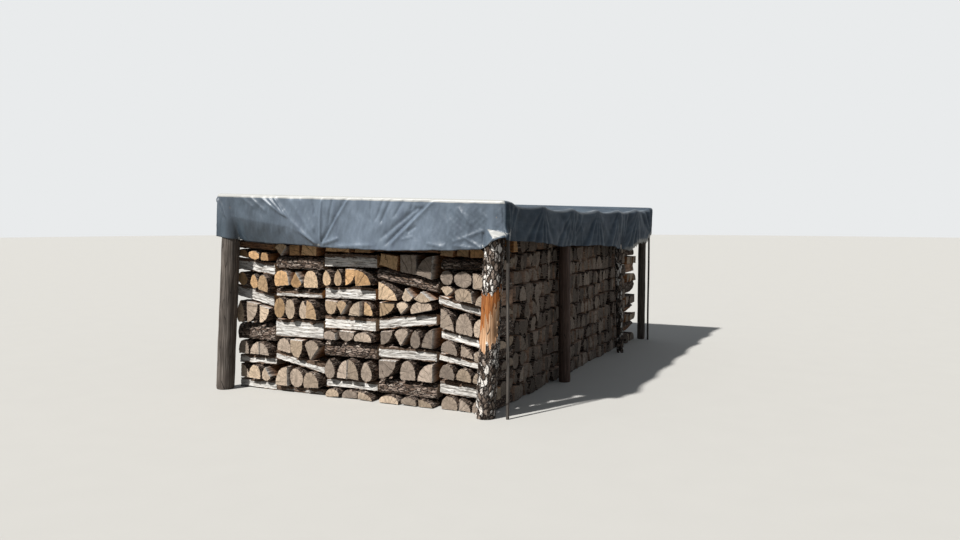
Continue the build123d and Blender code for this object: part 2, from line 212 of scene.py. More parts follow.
def split_face_material():
    """Split firewood face: fibres torn along the log. Weather bleaches it to a silvery cream, and inside the
    stack it stays orange brown."""
    paint = Paint("firewood_face_split")
    grain, chance = paint.log_grain((3.1, 7.7, 5.3))
    # Fibres: about 4 mm across and 120 mm along the log, coarse enough to show.
    fibres = paint.noise(paint.scaled(grain, 8.0, 230.0, 230.0), 1.0, 4.0, 0.6)
    bands = paint.noise(paint.scaled(grain, 9.0, 42.0, 42.0), 1.0, 5.0, 0.62)
    specks = paint.noise(grain, 95.0, 3.0, 0.7)
    fresh = paint.ramp(bands, (0.28, "#5E3A20"), (0.45, "#96602F"), (0.58, "#B67B42"), (0.75, "#C99A63"))
    old = paint.ramp(bands, (0.30, "#968F87"), (0.41, "#CDC8C1"), (0.54, "#E8E5DF"), (0.70, "#F8F6F2"))
    patchy = paint.calc("MULTIPLY_ADD", specks, 0.5, -0.25)
    bleached = paint.parts(paint.attribute("look", "Color"))[2]
    weathered = paint.mix(paint.calc("ADD", bleached, patchy, use_clamp=True), fresh, old)
    streaked = paint.toned(weathered, paint.calc(
        "MULTIPLY", paint.remap(fibres, 0.30, 0.62, 0.60, 1.06), paint.remap(chance, 0.0, 1.0, 0.80, 1.06)))
    # Splits: thin dark lines, 2 to 4 mm wide, that run 100 to 300 mm along the fibres.
    runs = paint.noise(paint.scaled(grain, 3.2, 38.0, 38.0), 1.0, 3.0, 0.55)
    off = paint.calc("ABSOLUTE", paint.calc("SUBTRACT", runs, 0.5))
    split = paint.remap(off, 0.003, 0.014, 0.8, 0.0)
    marks = paint.calc("MAXIMUM", split, paint.remap(specks, 0.66, 0.74, 0.0, 0.75))
    dirty = paint.mix(marks, streaked, "#4A3A2E")
    # Bark hangs on along some edges, and along the upper ones the dark band is wider as painted shadow of the
    # logs above: the attribute's last value is 1 there and falls to 0 away from them.
    ragged = paint.calc("MULTIPLY_ADD", bands, 1.7, -0.85)
    near_edge = paint.calc("ADD", paint.attribute("look", "Alpha"), ragged)
    bark_and_shadow_band = paint.remap(near_edge, 0.46, 0.54, 0.0, 1.0)
    rind_and_shadow_colour = paint.ramp(specks, (0.35, "#3A2E26"), (0.55, "#6A5647"), (0.7, "#93806F"))
    edged = paint.mix(bark_and_shadow_band, dirty, rind_and_shadow_colour)
    torn = paint.calc("MULTIPLY_ADD", bands, 1.5, fibres)
    cut = paint.calc("MULTIPLY_ADD", split, -0.8, torn)
    height = paint.calc("MULTIPLY_ADD", bark_and_shadow_band, 0.7, cut)
    paint.finish(edged, 0.85, height, 0.004, specular=0.25)


def bark_material(name, plate_mm, stretch, flaking, dark, mid, pale, flake):
    """Bark: plates parted by dark furrows, with pale dry flakes on their crests. It is rough and matt."""
    paint = Paint(name)
    grain, _ = paint.log_grain((5.1, 2.7, 8.3))
    bent = paint.moved(paint.noise(grain, 26.0, 2.0, output="Color"), (0.03, 0.03, 0.03), grain)
    scale = 1000 / plate_mm
    plates = paint.scaled(bent, scale / stretch, scale, scale)
    tall, flat, _ = paint.parts(paint.cells(plates, 1.0, "Color"))
    rough = paint.noise(grain, 120.0, 5.0, 0.7)
    tone = paint.calc("MULTIPLY_ADD", rough, 0.8, tall)
    body = paint.ramp(tone, (0.3, dark), (0.7, mid), (1.0, pale))
    furrow = paint.remap(paint.borders(plates, 1.0), 0.02, 0.16, 1.0, 0.0)
    parted = paint.mix(furrow, body, "#1C1612")
    flaky = paint.remap(paint.calc("MULTIPLY", rough, flat), flaking, flaking + 0.09, 0.0, 1.0)
    crest = paint.calc("SUBTRACT", 1.0, furrow)
    flaked = paint.mix(paint.calc("MULTIPLY", flaky, crest), parted, flake)
    height = paint.calc("MULTIPLY_ADD", furrow, -1.5, tone)
    paint.finish(flaked, 0.92, height, 0.006, specular=0.2)


def hidden_stack_material():
    """Firewood deep inside the stack: ends about 110 mm across, painted in brown shade, with the gaps between
    them painted dark as shadow.
    """
    paint = Paint("firewood_stacked_inside")
    place = paint.place()
    # One cell a log: 110 mm across and 500 mm long.
    logs = paint.scaled(place, 9.0, 2.0, 9.0)
    grain = paint.noise(place, 60.0, 5.0)
    tone = paint.calc("MULTIPLY_ADD", grain, 0.5, paint.parts(paint.cells(logs, 1.0, "Color"))[0])
    body = paint.ramp(tone, (0.2, "#4A382B"), (0.7, "#7A6250"), (1.2, "#A18872"))
    # The gaps are painted near black: painted shadow.
    gap = paint.remap(paint.borders(logs, 1.0), 0.03, 0.12, 1.0, 0.0)
    parted = paint.mix(gap, body, "#15100D")
    height = paint.calc("MULTIPLY_ADD", gap, -2.0, grain)
    paint.finish(parted, 0.9, height, 0.008, specular=0.2)


def pole_material(name, dark, mid, pale):
    """Stripped pole, dried outdoors: silver grey streaks along the grain, fine drying cracks and a few dark
    knots."""
    paint = Paint(name)
    grain = paint.attribute("grain", "Vector")
    # Streaks: about 8 mm wide and 400 mm long.
    streaks = paint.noise(paint.scaled(grain, 2.6, 120.0, 120.0), 1.0, 6.0, 0.62)
    crack = paint.remap(paint.borders(paint.scaled(grain, 1.9, 26.0, 26.0), 1.0), 0.004, 0.022, 0.85, 0.0)
    knot = paint.remap(paint.cells(grain, 3.6), 0.035, 0.075, 0.9, 0.0)
    body = paint.ramp(streaks, (0.30, dark), (0.52, mid), (0.70, pale))
    toned = paint.toned(body, paint.remap(paint.noise(grain, 5.5, 4.0), 0.3, 0.7, 0.72, 1.15))
    marks = paint.calc("MAXIMUM", crack, knot)
    marked = paint.mix(marks, toned, "#231C18")
    height = paint.calc("MULTIPLY_ADD", marks, -1.4, streaks)
    paint.finish(marked, 0.8, height, 0.003, specular=0.3)


def tarpaulin_material(name, specular, gloss):
    """Woven polyethylene tarpaulin, coated on both sides: a dark green grey sheet with a faint square weave,
    creases, and dust and rain marks. A satin copy goes on the sunlit front and a duller copy elsewhere: lit
    and shaded copies of one material."""
    paint = Paint(name)
    cloth = add(paint.tree, "ShaderNodeUVMap", uv_map="cloth")
    place = paint.place()
    # The tapes of the weave are 2.5 mm wide: drawn 6 mm apart, so that they show.
    waves = {"Vector": cloth, "Scale": 1 / 0.006 / (2 * math.pi), "Distortion": 0.4}
    warp, weft = [add(paint.tree, "ShaderNodeTexWave", waves, bands_direction=way) for way in ("X", "Y")]
    weave = paint.calc("ADD", warp, weft)
    bent = paint.moved(paint.noise(place, 5.0, 2.0, output="Color"), (0.16, 0.16, 0.16), place)
    crease = paint.remap(paint.borders(bent, 9.0), 0.0, 0.12, 0.0, 1.0)
    soft = paint.noise(bent, 16.0, 4.0, 0.55)
    # Rain runs down what hangs, and stands in pools on the top.
    runs = paint.noise(paint.scaled(cloth, 9.0, 1.6, 1.0), 1.0, 5.0, 0.6)
    pools = paint.noise(cloth, 2.4, 6.0, 0.6)
    marks = add(paint.tree, "ShaderNodeMix", {0: paint.attribute("level"), 2: runs, 3: pools})
    # The sheet's colour mixes a shaded colour and a faded, lit one: the share holds sun fading, painted light
    # and painted shade.
    shaded = paint.ramp(marks, (0.30, "#232D35"), (0.48, "#2F3A44"), (0.60, "#394650"), (0.78, "#4C5A64"))
    faded = paint.ramp(marks, (0.30, "#596473"), (0.48, "#606C79"), (0.60, "#677381"), (0.78, "#737F8B"))
    body = paint.mix(paint.attribute("faded"), shaded, faded)
    # Dust and rain marks take the pale colour, and so do the painted highlights on the top bend and the
    # folded-up corner.
    pale_share = paint.remap(paint.calc("MULTIPLY", marks, paint.attribute("dirt")), 0.22, 0.62, 0.0, 0.85)
    pale_marked = paint.mix(pale_share, body, "#B2B1AC")
    rough = paint.remap(soft, 0.3, 0.7, gloss, gloss + 0.11)
    folds = paint.calc("MULTIPLY_ADD", crease, 0.10, soft)
    height = paint.calc("MULTIPLY_ADD", weave, 0.04, folds)
    paint.finish(pale_marked, rough, height, 0.0022, specular=specular)


def steel_material():
    """Zinc-coated steel, dulled outdoors: a mottled light grey metal."""
    paint = Paint("nail_steel_zinc_coated")
    tone = paint.parts(paint.cells(paint.place(), 240.0, "Color"))[0]
    colour = paint.ramp(tone, (0.0, "#7E8284"), (1.0, "#A9ADAE"))
    paint.finish(colour, 0.5, tone, 0.0004, metallic=0.8)


def materials():
    """Every material of the store, made once."""
    if "firewood_end_grain_sawn" not in bpy.data.materials:
        end_grain_material()
        split_face_material()
        bark_material("firewood_bark_dry", 15, 5.0, 0.42, "#3B2E26", "#6B594C", "#97867A", "#B9ADA1")
        bark_material("post_bark_scaly", 27, 2.2, 0.31, "#17110E", "#4E4137", "#8A7C71", "#EFE9E1")
        hidden_stack_material()
        pole_material("pole_stripped_weathered", "#352F2B", "#585049", "#8C847D")
        pole_material("pole_stripped_fresh", "#946848", "#C0956F", "#E8CDB0")
        pole_material("pole_inner_bark", "#6E3F20", "#A9642F", "#D09256")
        pole_material("pole_dark_reddish", "#2E231E", "#4C3B33", "#74635A")
        # The lath's colours are darkened as painted shade, as if it stood in the post's shadow.
        pole_material("lath_sawn_spruce", "#2F2B28", "#4C4742", "#6C665F")
        tarpaulin_material("tarpaulin_woven_coated_satin", 0.60, 0.40)
        tarpaulin_material("tarpaulin_woven_coated_dull", 0.02, 0.42)
        steel_material()
    return bpy.data.materials


# Mesh tools

def ripple(rng, u, v, octaves=3):
    """Smooth unevenness from about -1 to 1, one wave long in u and in v."""
    total = 0
    for k in range(octaves):
        f = 1.9 ** k
        bend = np.sin(2 * np.pi * (f * v * rng.uniform(0.7, 1.3) + rng.random()))
        wave = np.sin(2 * np.pi * (f * u * rng.uniform(0.7, 1.3) + rng.random()) + 1.7 * bend)
        total = total + wave / f ** 0.8
    return total / 1.6


def smoothstep(low, high, value):
    """0 up to low, 1 from high on, and an even curve between them."""
    t = np.clip((value - low) / (high - low), 0, 1)
    return t * t * (3 - 2 * t)


def set_attribute(mesh, name, values):
    """Gives every vertex a number, a vector or a colour, by the width of the values."""
    kind, field = {1: ("FLOAT", "value"), 3: ("FLOAT_VECTOR", "vector"), 4: ("FLOAT_COLOR", "color")}[
        1 if values.ndim == 1 else values.shape[1]]
    mesh.attributes.new(name, kind, "POINT").data.foreach_set(field, values.astype(np.float32).ravel())


def new_object(name, data):
    """An object in the scene, at the origin."""
    made = bpy.data.objects.new(name, data)
    bpy.context.scene.collection.objects.link(made)
    return made


class MeshParts:
    """Vertices, faces and attributes that are gathered for one piece."""

    def __init__(self):
        self.vertices, self.faces, self.kinds = [], [], []
        self.grain, self.look, self.count = [], [], 0

    def extend(self, vertices, faces, kinds, grain, look):
        self.vertices.append(vertices)
        self.faces += [tuple(i + self.count for i in f) for f in faces]
        self.kinds += kinds
        self.grain.append(grain)
        self.look.append(look)
        self.count += len(vertices)

    def piece(self, name, skins):
        """The gathered parts as one object. Each kind of face has the skin of that number."""
        mesh = bpy.data.meshes.new(name)
        mesh.from_pydata(np.concatenate(self.vertices).tolist(), [], self.faces)
        for skin in skins:
            mesh.materials.append(skin)
        mesh.polygons.foreach_set("material_index", self.kinds)
        set_attribute(mesh, "grain", np.concatenate(self.grain))
        set_attribute(mesh, "look", np.concatenate(self.look))
        mesh.shade_smooth()
        mesh.set_sharp_from_angle(angle=math.radians(42))
        mesh.update()
        return new_object(name, mesh)


def settle_piece(piece, material_slot, *nodes):
    """Sets a finished piece on the frame, in the place of its nodes."""
    if nodes:
        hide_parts(*nodes)
    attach(piece, "root")


def baked(piece):
    """Turns a piece's modifiers into plain mesh."""
    graph = bpy.context.evaluated_depsgraph_get()
    mesh = bpy.data.meshes.new_from_object(piece.evaluated_get(graph), depsgraph=graph)
    mesh.name = piece.name
    piece.modifiers.clear()
    piece.data = mesh
    return piece


# Firewood

BARK, SPLIT, END = 0, 1, 2


def log_prisms(node):
    """Each log of a node: its long axis, where it starts, its near corners, and the way to its far end."""
    source = bmesh.new()
    source.from_mesh(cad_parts[node].data)
    bmesh.ops.remove_doubles(source, verts=source.verts, dist=1e-5)
    # A dict keeps its order and a set doesn't, so each run gathers and sums the vertices alike.
    left = dict.fromkeys(source.verts)
    logs = []
    while left:
        island, wave = [], [left.popitem()[0]]
        while wave:
            vertex = wave.pop()
            island.append(vertex)
            for edge in vertex.link_edges:
                other = edge.other_vert(vertex)
                if other in left:
                    del left[other]
                    wave.append(other)
        axis = 0 if len({round(v.co.x, 4) for v in island}) == 2 else 1
        near = min(v.co[axis] for v in island)
        ring = [v for v in island if v.co[axis] < near + 1e-4]
        far = [v for v in island if v.co[axis] > near + 1e-4]
        rim = {}
        for vertex in ring:
            rim[vertex] = [e.other_vert(vertex) for e in vertex.link_edges
                           if e.other_vert(vertex) in ring
                           and sum(all(c.co[axis] < near + 1e-4 for c in f.verts) for f in e.link_faces) == 1]
        start = min(ring, key=lambda v: tuple(v.co))
        loop, before = [start], None
        while True:
            after = [v for v in rim[loop[-1]] if v is not before]
            before = loop[-1]
            if after[0] is start:
                break
            loop.append(after[0])
        side = 1 - axis
        corners = np.array([(v.co[side], v.co.z) for v in loop])
        area = sum(a[0] * b[1] - b[0] * a[1] for a, b in zip(corners, np.roll(corners, -1, 0)))
        if area < 0:
            corners = corners[::-1]
        way = sum((v.co for v in far), Vector()) / len(far) - sum((v.co for v in ring), Vector()) / len(ring)
        logs.append((axis, near, corners, way))
    source.free()
    logs.sort(key=lambda log: (round(float(log[2][:, 1].mean()), 3), log[1], float(log[2][0][0])))
    return logs


def rounded_section(corners, step):
    """Points round a log's section with its bark faces curved, and which faces are bark."""
    edges = np.roll(corners, -1, 0) - corners
    lengths = np.linalg.norm(edges, axis=1)
    ways = edges / lengths[:, None]
    count = len(corners)
    turns = [math.acos(float(np.clip(ways[i - 1] @ ways[i], -1, 1))) for i in range(count)]
    smooth = [turn < math.radians(64) for turn in turns]
    points, kinds, sharp = [], [], []
    for i in range(count):
        j = (i + 1) % count
        pieces = max(2, round(lengths[i] / step))
        curved = smooth[i] or smooth[j]
        if curved:
            start, stop = ways[i - 1] + ways[i], ways[i] + ways[j]
            start, stop = start / np.linalg.norm(start), stop / np.linalg.norm(stop)
            # At the end of the bark, the curve's slope mirrors the slope at the edge's other end.
            if not smooth[i]:
                start = 2 * (stop @ ways[i]) * ways[i] - stop
            if not smooth[j]:
                stop = 2 * (start @ ways[i]) * ways[i] - start
        for k in range(pieces):
            u = k / pieces
            if curved:
                a, b = start * lengths[i], stop * lengths[i]
                point = ((2 * u ** 3 - 3 * u ** 2 + 1) * corners[i] + (u ** 3 - 2 * u ** 2 + u) * a
                         + (3 * u ** 2 - 2 * u ** 3) * corners[j] + (u ** 3 - u ** 2) * b)
            else:
                point = corners[i] + edges[i] * u
            points.append(point)
            kinds.append(BARK if curved else SPLIT)
            sharp.append(k == 0 and not smooth[i])
    return np.array(points), kinds, np.array(sharp)


def pith_of(points, kinds, rng):
    """The middle of a log's growth rings: the centre of its bark's arc, or a place outside the log."""
    middle = points.mean(0)
    size = np.ptp(points, axis=0).max()
    arc = points[[k == BARK for k in kinds]]
    if len(arc) >= 4:
        matrix = np.column_stack([2 * arc, np.ones(len(arc))])
        centre = np.linalg.lstsq(matrix, (arc ** 2).sum(1), rcond=None)[0][:2]
        if np.linalg.norm(centre - middle) < 1.1 * size:
            return centre
    turn = rng.uniform(0, 2 * math.pi)
    return middle + size * rng.uniform(0.5, 0.9) * np.array([math.cos(turn), math.sin(turn)])


def settled_corners(rng, axis, corners, place):
    """A log's corners, drawn in so that a dark gap stays round it, and turned a little without sinking."""
    if axis == 0:
        shrink, turn = [0.985, rng.uniform(0.90, 0.98)], 0.0
    else:
        narrow, wide, lean = (0.80, 0.95, 7) if place == "row" else (0.84, 0.94, 5)
        shrink = [rng.uniform(narrow, wide), rng.uniform(0.88, 0.97)]
        turn = math.radians(rng.uniform(-lean, lean))
    rest = np.array([corners[:, 0].mean(), corners[:, 1].min()])
    corners = rest + (corners - rest) * shrink
    middle = corners.mean(0)
    low = corners[:, 1].min()
    spin = np.array([[math.cos(turn), math.sin(turn)], [-math.sin(turn), math.cos(turn)]])
    corners = middle + (corners - middle) @ spin
    corners[:, 1] += max(0.0, low - corners[:, 1].min())
    return corners


def worn_section(rng, points, kinds, sharp, rings, length, roughness, across_front):
    """The section at each ring: torn along the fibres, chipped along its edges and bevelled at its ends."""
    tangent = np.roll(points, -1, 0) - np.roll(points, 1, 0)
    normal = np.column_stack([tangent[:, 1], -tangent[:, 0]])
    normal /= np.linalg.norm(normal, axis=1)[:, None]
    girth = np.concatenate([[0], np.cumsum(np.linalg.norm(np.diff(points, axis=0), axis=1))])
    is_bark = np.array([float(k == BARK and kinds[i - 1] == BARK) for i, k in enumerate(kinds)])
    along = rings * length
    u, v = np.meshgrid(girth, along)
    fibre = ripple(rng, u / 0.035, v / 0.45, 4)
    plate = ripple(rng, u / 0.05, v / 0.09, 4)
    chip = np.clip(ripple(rng, u / 0.2, v / 0.07, 4) - 0.15, 0, 1) * sharp[None, :]
    torn, chipped = (0.0048, 0.018) if across_front else (0.0028, 0.011)
    depth = roughness * (torn * (fibre - 1) * (1 - is_bark) + 0.0024 * (plate - 1) * is_bark - chipped * chip)
    from_end = np.minimum(along, length - along)[:, None]
    depth = depth - 0.0030 * np.exp(-from_end / 0.003)
    bow = 0.002 * roughness * np.sin(np.pi * rings + rng.uniform(-1, 1))
    section = points[None] + normal[None] * depth[..., None] + bow[:, None, None] * np.array([0.6, 1.0])
    if across_front:
        # A split log isn't sawn to one height: its upper side rises and falls along it.
        low = section[..., 1].min()
        waist = 1 - 0.10 * roughness * np.clip(ripple(rng, along / 0.30, 0 * along, 3) * 0.5 + 0.5, 0, 1)
        section[..., 1] = low + (section[..., 1] - low) * waist[:, None]
    return section


def closed_log(vertices, kinds, ring_count, axis):
    """A log's rings joined by faces and closed at both ends: vertices, faces and what each face is."""
    count = len(kinds)
    faces, face_kinds = [], []
    for r in range(ring_count - 1):
        for i in range(count):
            j = (i + 1) % count
            quad = (r * count + i, r * count + j, (r + 1) * count + j, (r + 1) * count + i)
            faces.append(quad if axis == 0 else quad[::-1])
            face_kinds.append(kinds[i])
    for start in (0, (ring_count - 1) * count):
        rim = vertices[start:start + count]
        middle = rim.mean(0)
        first = len(vertices)
        hub = first + count
        vertices = np.concatenate([vertices, middle + (rim - middle) * 0.55, middle[None]])
        for i in range(count):
            j = (i + 1) % count
            quad, wedge = (start + i, first + i, first + j, start + j), (first + i, hub, first + j)
            if (start == 0) != (axis == 0):
                quad, wedge = quad[::-1], wedge[::-1]
            faces += [quad, wedge]
            face_kinds += [END, END]
    return vertices, faces, face_kinds


def bleaching(points, sides):
    """How much the weather has bleached each point, by its depth behind the store's open sides."""
    strength = {"front": 1.0, "right": 0.42, "back": 0.55, "left": 0.55}
    fades = []
    for side, (axis, sign) in FACING.items():
        behind = np.maximum((sides[side] - points[:, axis]) * sign, 0)
        fades.append(strength[side] * np.exp(-behind / 0.05))
    return np.maximum.reduce(fades)


def log_age_and_shade(rng, middle, place):
    """How grey the sawn ends are: the upper left of the front is newest, and the long rows are oldest and
    darkest, partly from age and partly as painted shade.
    """
    newest = smoothstep(0.55, 0.95, middle[2]) * smoothstep(0.55, 0.1, middle[0]) if place == "front" else 0
    age = 0.68 - 0.45 * newest + rng.uniform(-0.2, 0.2)
    # The long rows take the darkest end colour: age, and painted shade.
    if place == "row":
        age = rng.uniform(0.80, 1.0)
    if middle[2] > 1.24 and middle[1] < -1.6 and middle[0] > -0.8:
        age = rng.uniform(0.0, 0.3)
    return float(np.clip(age, 0.02, 1))


def log_look(rng, vertices, points, sharp, ring_count, axis, sides, place):
    """Each vertex's age, its log's chance, how bleached it is, and how near an edge with bark it lies; along
    upper edges that band also holds painted shadow.
    """
    middle = vertices.mean(0)
    age, chance = log_age_and_shade(rng, middle, place), rng.random()
    bleach = bleaching(vertices, sides)
    edge_bark_and_shadow = np.zeros(len(vertices))
    if place == "row":
        bleach = np.maximum(bleach, 0.3)
    if axis == 0 and place == "crib":
        bleach = 0.85 * np.exp(-np.maximum(vertices[:, 1].max() - vertices[:, 1] - 0.02, 0) / 0.04)
    if axis == 0 and place == "front":
        bleach = np.exp(-np.maximum(vertices[:, 1] - vertices[:, 1].min() - 0.02, 0) / 0.04)
        near_bark_and_shadow = np.zeros(len(points))
        for k in np.flatnonzero(sharp):
            upper = points[k, 1] > points[:, 1].mean()
            # An upper edge gets a wider band: bark, and painted shadow of the log ends above.
            width = rng.uniform(0.030, 0.075) if upper else rng.uniform(0.008, 0.030)
            near_bark_and_shadow = np.maximum(near_bark_and_shadow, 1 - np.linalg.norm(points - points[k], axis=1) / width)
        edge_bark_and_shadow[:ring_count * len(points)] = np.tile(np.clip(near_bark_and_shadow, 0, 1), ring_count)
    if age < 0.3 and middle[2] > 1.2:
        bleach = bleach * 0.12
    return np.column_stack([np.full(len(vertices), age), np.full(len(vertices), chance), bleach, edge_bark_and_shadow])


def add_log(parts, rng, log, step, rings, roughness, sides, place):
    """One log: a CAD prism with rounded bark, torn split faces and sawn ends."""
    axis, near, corners, way = log
    corners = settled_corners(rng, axis, corners, place)
    across_front = place == "front" and axis == 0
    if across_front:
        corners = corners + np.array([0.008, 0.0])
    elif place == "front":
        # Sawn ends stand out past the logs laid across, by up to 30 mm.
        reach = rng.uniform(0.0, 0.030)
        near, way = near - reach, way * ((way.length + reach) / way.length)
    points, kinds, sharp = rounded_section(corners, step)
    pith = pith_of(points, kinds, rng)
    section = worn_section(rng, points, kinds, sharp, rings, way.length, roughness, across_front)
    start = np.full(section.shape[:2], near)
    x, y = (start, section[..., 0]) if axis == 0 else (section[..., 0], start)
    shell = np.stack([x, y, section[..., 1]], axis=2) + rings[:, None, None] * np.array(way)
    vertices, faces, face_kinds = closed_log(shell.reshape(-1, 3), kinds, len(rings), axis)
    lengthwise = vertices[:, axis] - near
    grain = np.column_stack([lengthwise, vertices[:, 1 - axis] - pith[0],
                             vertices[:, 2] - lengthwise * (way[2] / way[axis]) - pith[1]])
    look = log_look(rng, vertices, points, sharp, len(rings), axis, sides, place)
    parts.extend(vertices, faces, face_kinds, grain, look)


def ring_places(length, detail, count):
    """Shares of a log's length where its rings lie, packed at the near end, the far one or both."""
    bevel = 0.0025 / length
    inner = np.linspace(0, 1, count)[1:-1]
    if detail != "both":
        inner = inner ** 1.8
    if detail == "far":
        inner = 1 - inner[::-1]
    return np.concatenate([[0, bevel], inner, [1 - bevel, 1]])


# Poles

def add_pole(parts, rng, path, radius, rings, segments, wobble, kinds_at=None, lump=None):
    """A round pole along a path, a little uneven, with closed ends."""
    path = np.array(path, float)
    runs = np.concatenate([[0], np.cumsum(np.linalg.norm(np.diff(path, axis=0), axis=1))])
    length = runs[-1]
    places = np.linspace(0, length, rings)
    centres = np.column_stack([np.interp(places, runs, path[:, i]) for i in range(3)])
    way = (path[-1] - path[0]) / np.linalg.norm(path[-1] - path[0])
    side = np.cross(way, (0, 1, 0) if abs(way[1]) < 0.9 else (1, 0, 0))
    side /= np.linalg.norm(side)
    other = np.cross(way, side)
    turn = np.linspace(0, 2 * np.pi, segments, endpoint=False)
    angle, along = np.meshgrid(turn, places)
    # Ripples in the cosine and sine of the angle close up round the pole.
    bumps = ripple(rng, np.cos(angle) * 0.6, along / 0.7, 2)
    bumps = bumps + ripple(rng, np.sin(angle) * 0.6, along / 0.5, 2)
    reach = radius * (1 - wobble + wobble * bumps / 2)
    if lump is not None:
        reach = reach + lump(angle, centres[:, 2][:, None] + 0 * angle)
    edge = np.minimum(along, length - along)
    reach = reach - 0.004 * np.exp(-edge / 0.004)
    spokes = np.cos(angle)[..., None] * side + np.sin(angle)[..., None] * other
    shell = (centres[:, None] + reach[..., None] * spokes).reshape(-1, 3)
    faces, kinds = [], []
    for r in range(rings - 1):
        for i in range(segments):
            j = (i + 1) % segments
            faces.append((r * segments + i, r * segments + j, (r + 1) * segments + j, (r + 1) * segments + i))
            kinds.append(0 if kinds_at is None else kinds_at(turn[i], centres[r][2]))
    last = (rings - 1) * segments
    hubs = [shell[:segments].mean(0), shell[last:].mean(0)]
    first = len(shell)
    for i in range(segments):
        j = (i + 1) % segments
        faces += [(i, first, j), (last + j, first + 1, last + i)]
        kinds += [1, 1]
    vertices = np.concatenate([shell, hubs])
    vertices[:, 2] = np.maximum(vertices[:, 2], 0)
    lengthwise = np.concatenate([along.ravel(), [0, length]])
    across = np.concatenate([(reach * np.cos(angle)).ravel(), [0, 0]])
    up = np.concatenate([(reach * np.sin(angle)).ravel(), [0, 0]])
    chance = rng.random()
    grain = np.column_stack([lengthwise + chance * 3, across, up])
    look = np.tile([0.9, chance, 0.6, 1.0], (len(vertices), 1))
    parts.extend(vertices, faces, kinds, grain, look)


def post_radius(node):
    """A post leans little along Y, so its foot is as wide there as the pole."""
    foot = [v.co.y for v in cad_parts[node].data.vertices if v.co.z < 1e-4]
    return (max(foot) - min(foot)) / 2


def pole_ends(node, radius):
    """The foot and the head of a leaning post, from its node."""
    low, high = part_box(node)
    ring = [v.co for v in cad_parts[node].data.vertices if v.co.z < 1e-4]
    foot = Vector([(min(co[i] for co in ring) + max(co[i] for co in ring)) / 2 for i in (0, 1)] + [0.0])
    head = [0.0, 0.0, high.z]
    for i in (0, 1):
        head[i] = high[i] - radius if high[i] - radius > foot[i] + 1e-3 else low[i] + radius
        if abs((low[i] + high[i]) / 2 - foot[i]) < 2e-3:
            head[i] = foot[i]
    return foot, Vector(head)


def middle_height(node, axis, place, reach):
    """Middle height of the node's vertices that lie within reach of a place along one axis."""
    heights = [v.co.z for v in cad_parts[node].data.vertices if abs(v.co[axis] - place) < reach]
    return (min(heights) + max(heights)) / 2


def sawn_lath(node, finish):
    """One lath: its own solid with rounded edges, a little bent."""
    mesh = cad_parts[node].data.copy()
    mesh.name = "sawn_" + node
    mesh.materials.clear()
    mesh.materials.append(finish)
    shape = bmesh.new()
    shape.from_mesh(mesh)
    bmesh.ops.remove_doubles(shape, verts=shape.verts, dist=1e-5)
    bmesh.ops.dissolve_limit(shape, angle_limit=0.01, verts=shape.verts, edges=shape.edges)
    bmesh.ops.bevel(shape, geom=shape.edges[:], offset=0.0015, segments=2, affect="EDGES", profile=0.5)
    long_edges = [e for e in shape.edges if e.calc_length() > 0.5]
    bmesh.ops.subdivide_edges(shape, edges=long_edges, cuts=40, use_grid_fill=True)
    phase = random.Random(node).uniform(0, 6)
    for vertex in shape.verts:
        z = vertex.co.z
        vertex.co.x += 0.0015 * math.sin(z * 5 + phase)
        vertex.co.y += 0.0012 * math.sin(z * 7 + phase)
    shape.to_mesh(mesh)
    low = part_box(node)[0]
    co = np.array([v.co for v in mesh.vertices])
    set_attribute(mesh, "grain", np.column_stack([co[:, 2], co[:, 0] - low.x, co[:, 1] - low.y]))
    return new_object("sawn_" + node, mesh)


# Tarpaulin

# Heights of the sheet's four corners, and how far its two eaves sag between them
FRONT_LEFT, BACK_LEFT, LEFT_SAG = 1.795, 1.770, 0.015
FRONT_RIGHT, BACK_RIGHT, RIGHT_SAG = 1.712, 1.692, 0.050

# Radius of the sheet's upper edge, where it turns down over the rafters, and the turns where it has vertices
BEND, BEND_TURNS = 0.024, (0, 30, 60, 90)

# Radius of its upright corners, seen from above
CORNER = 0.035

# How far the sheet sags between two rafters, and how far its eave is drawn in there
SAG, DRAWN_IN = 0.027, 0.024

# Half the width of a lath, seen as a pole behind the sheet
LATH_RADIUS = 0.0105

# Drop of the hem below the top, along each side: its share of the side, and the drop
HEM_DROPS = {
    "front": [(0, 0.385), (0.09, 0.425), (0.49, 0.440), (0.7, 0.425), (0.925, 0.385), (1, 0.275)],
    "right": [(0, 0.302), (0.17, 0.314), (0.28, 0.351), (0.51, 0.361), (0.635, 0.398), (0.8, 0.485),
              (0.86, 0.415), (0.95, 0.424), (1, 0.320)],
    "back": [(0, 0.320), (0.3, 0.410), (0.7, 0.420), (1, 0.340)],
    "left": [(0, 0.385), (0.35, 0.410), (0.75, 0.395), (1, 0.340)],
}


def cover_z(x, y):
    """Height of the tarpaulin's top face: a straight line across between its two eaves."""
    t = (y + HALF_DEPTH) / (2 * HALF_DEPTH)
    left = FRONT_LEFT + (BACK_LEFT - FRONT_LEFT) * t - LEFT_SAG * 4 * t * (1 - t)
    right = FRONT_RIGHT + (BACK_RIGHT - FRONT_RIGHT) * t - RIGHT_SAG * 4 * t * (1 - t)
    s = (x + HALF_WIDTH) / (2 * HALF_WIDTH)
    return left * (1 - s) + right * s


def hem_heights(side):
    """Places along one side, rising, and the height of the hem at each."""
    axis, sign = FACING[side]
    edge, reach = COVER_HIGH[axis] * sign, COVER_HIGH[1 - axis]
    a = np.linspace(-reach, reach, 241)
    top = cover_z(edge, a) if axis == 0 else cover_z(a, edge)
    return a, top - np.interp((a + reach) / (2 * reach), *zip(*HEM_DROPS[side]))


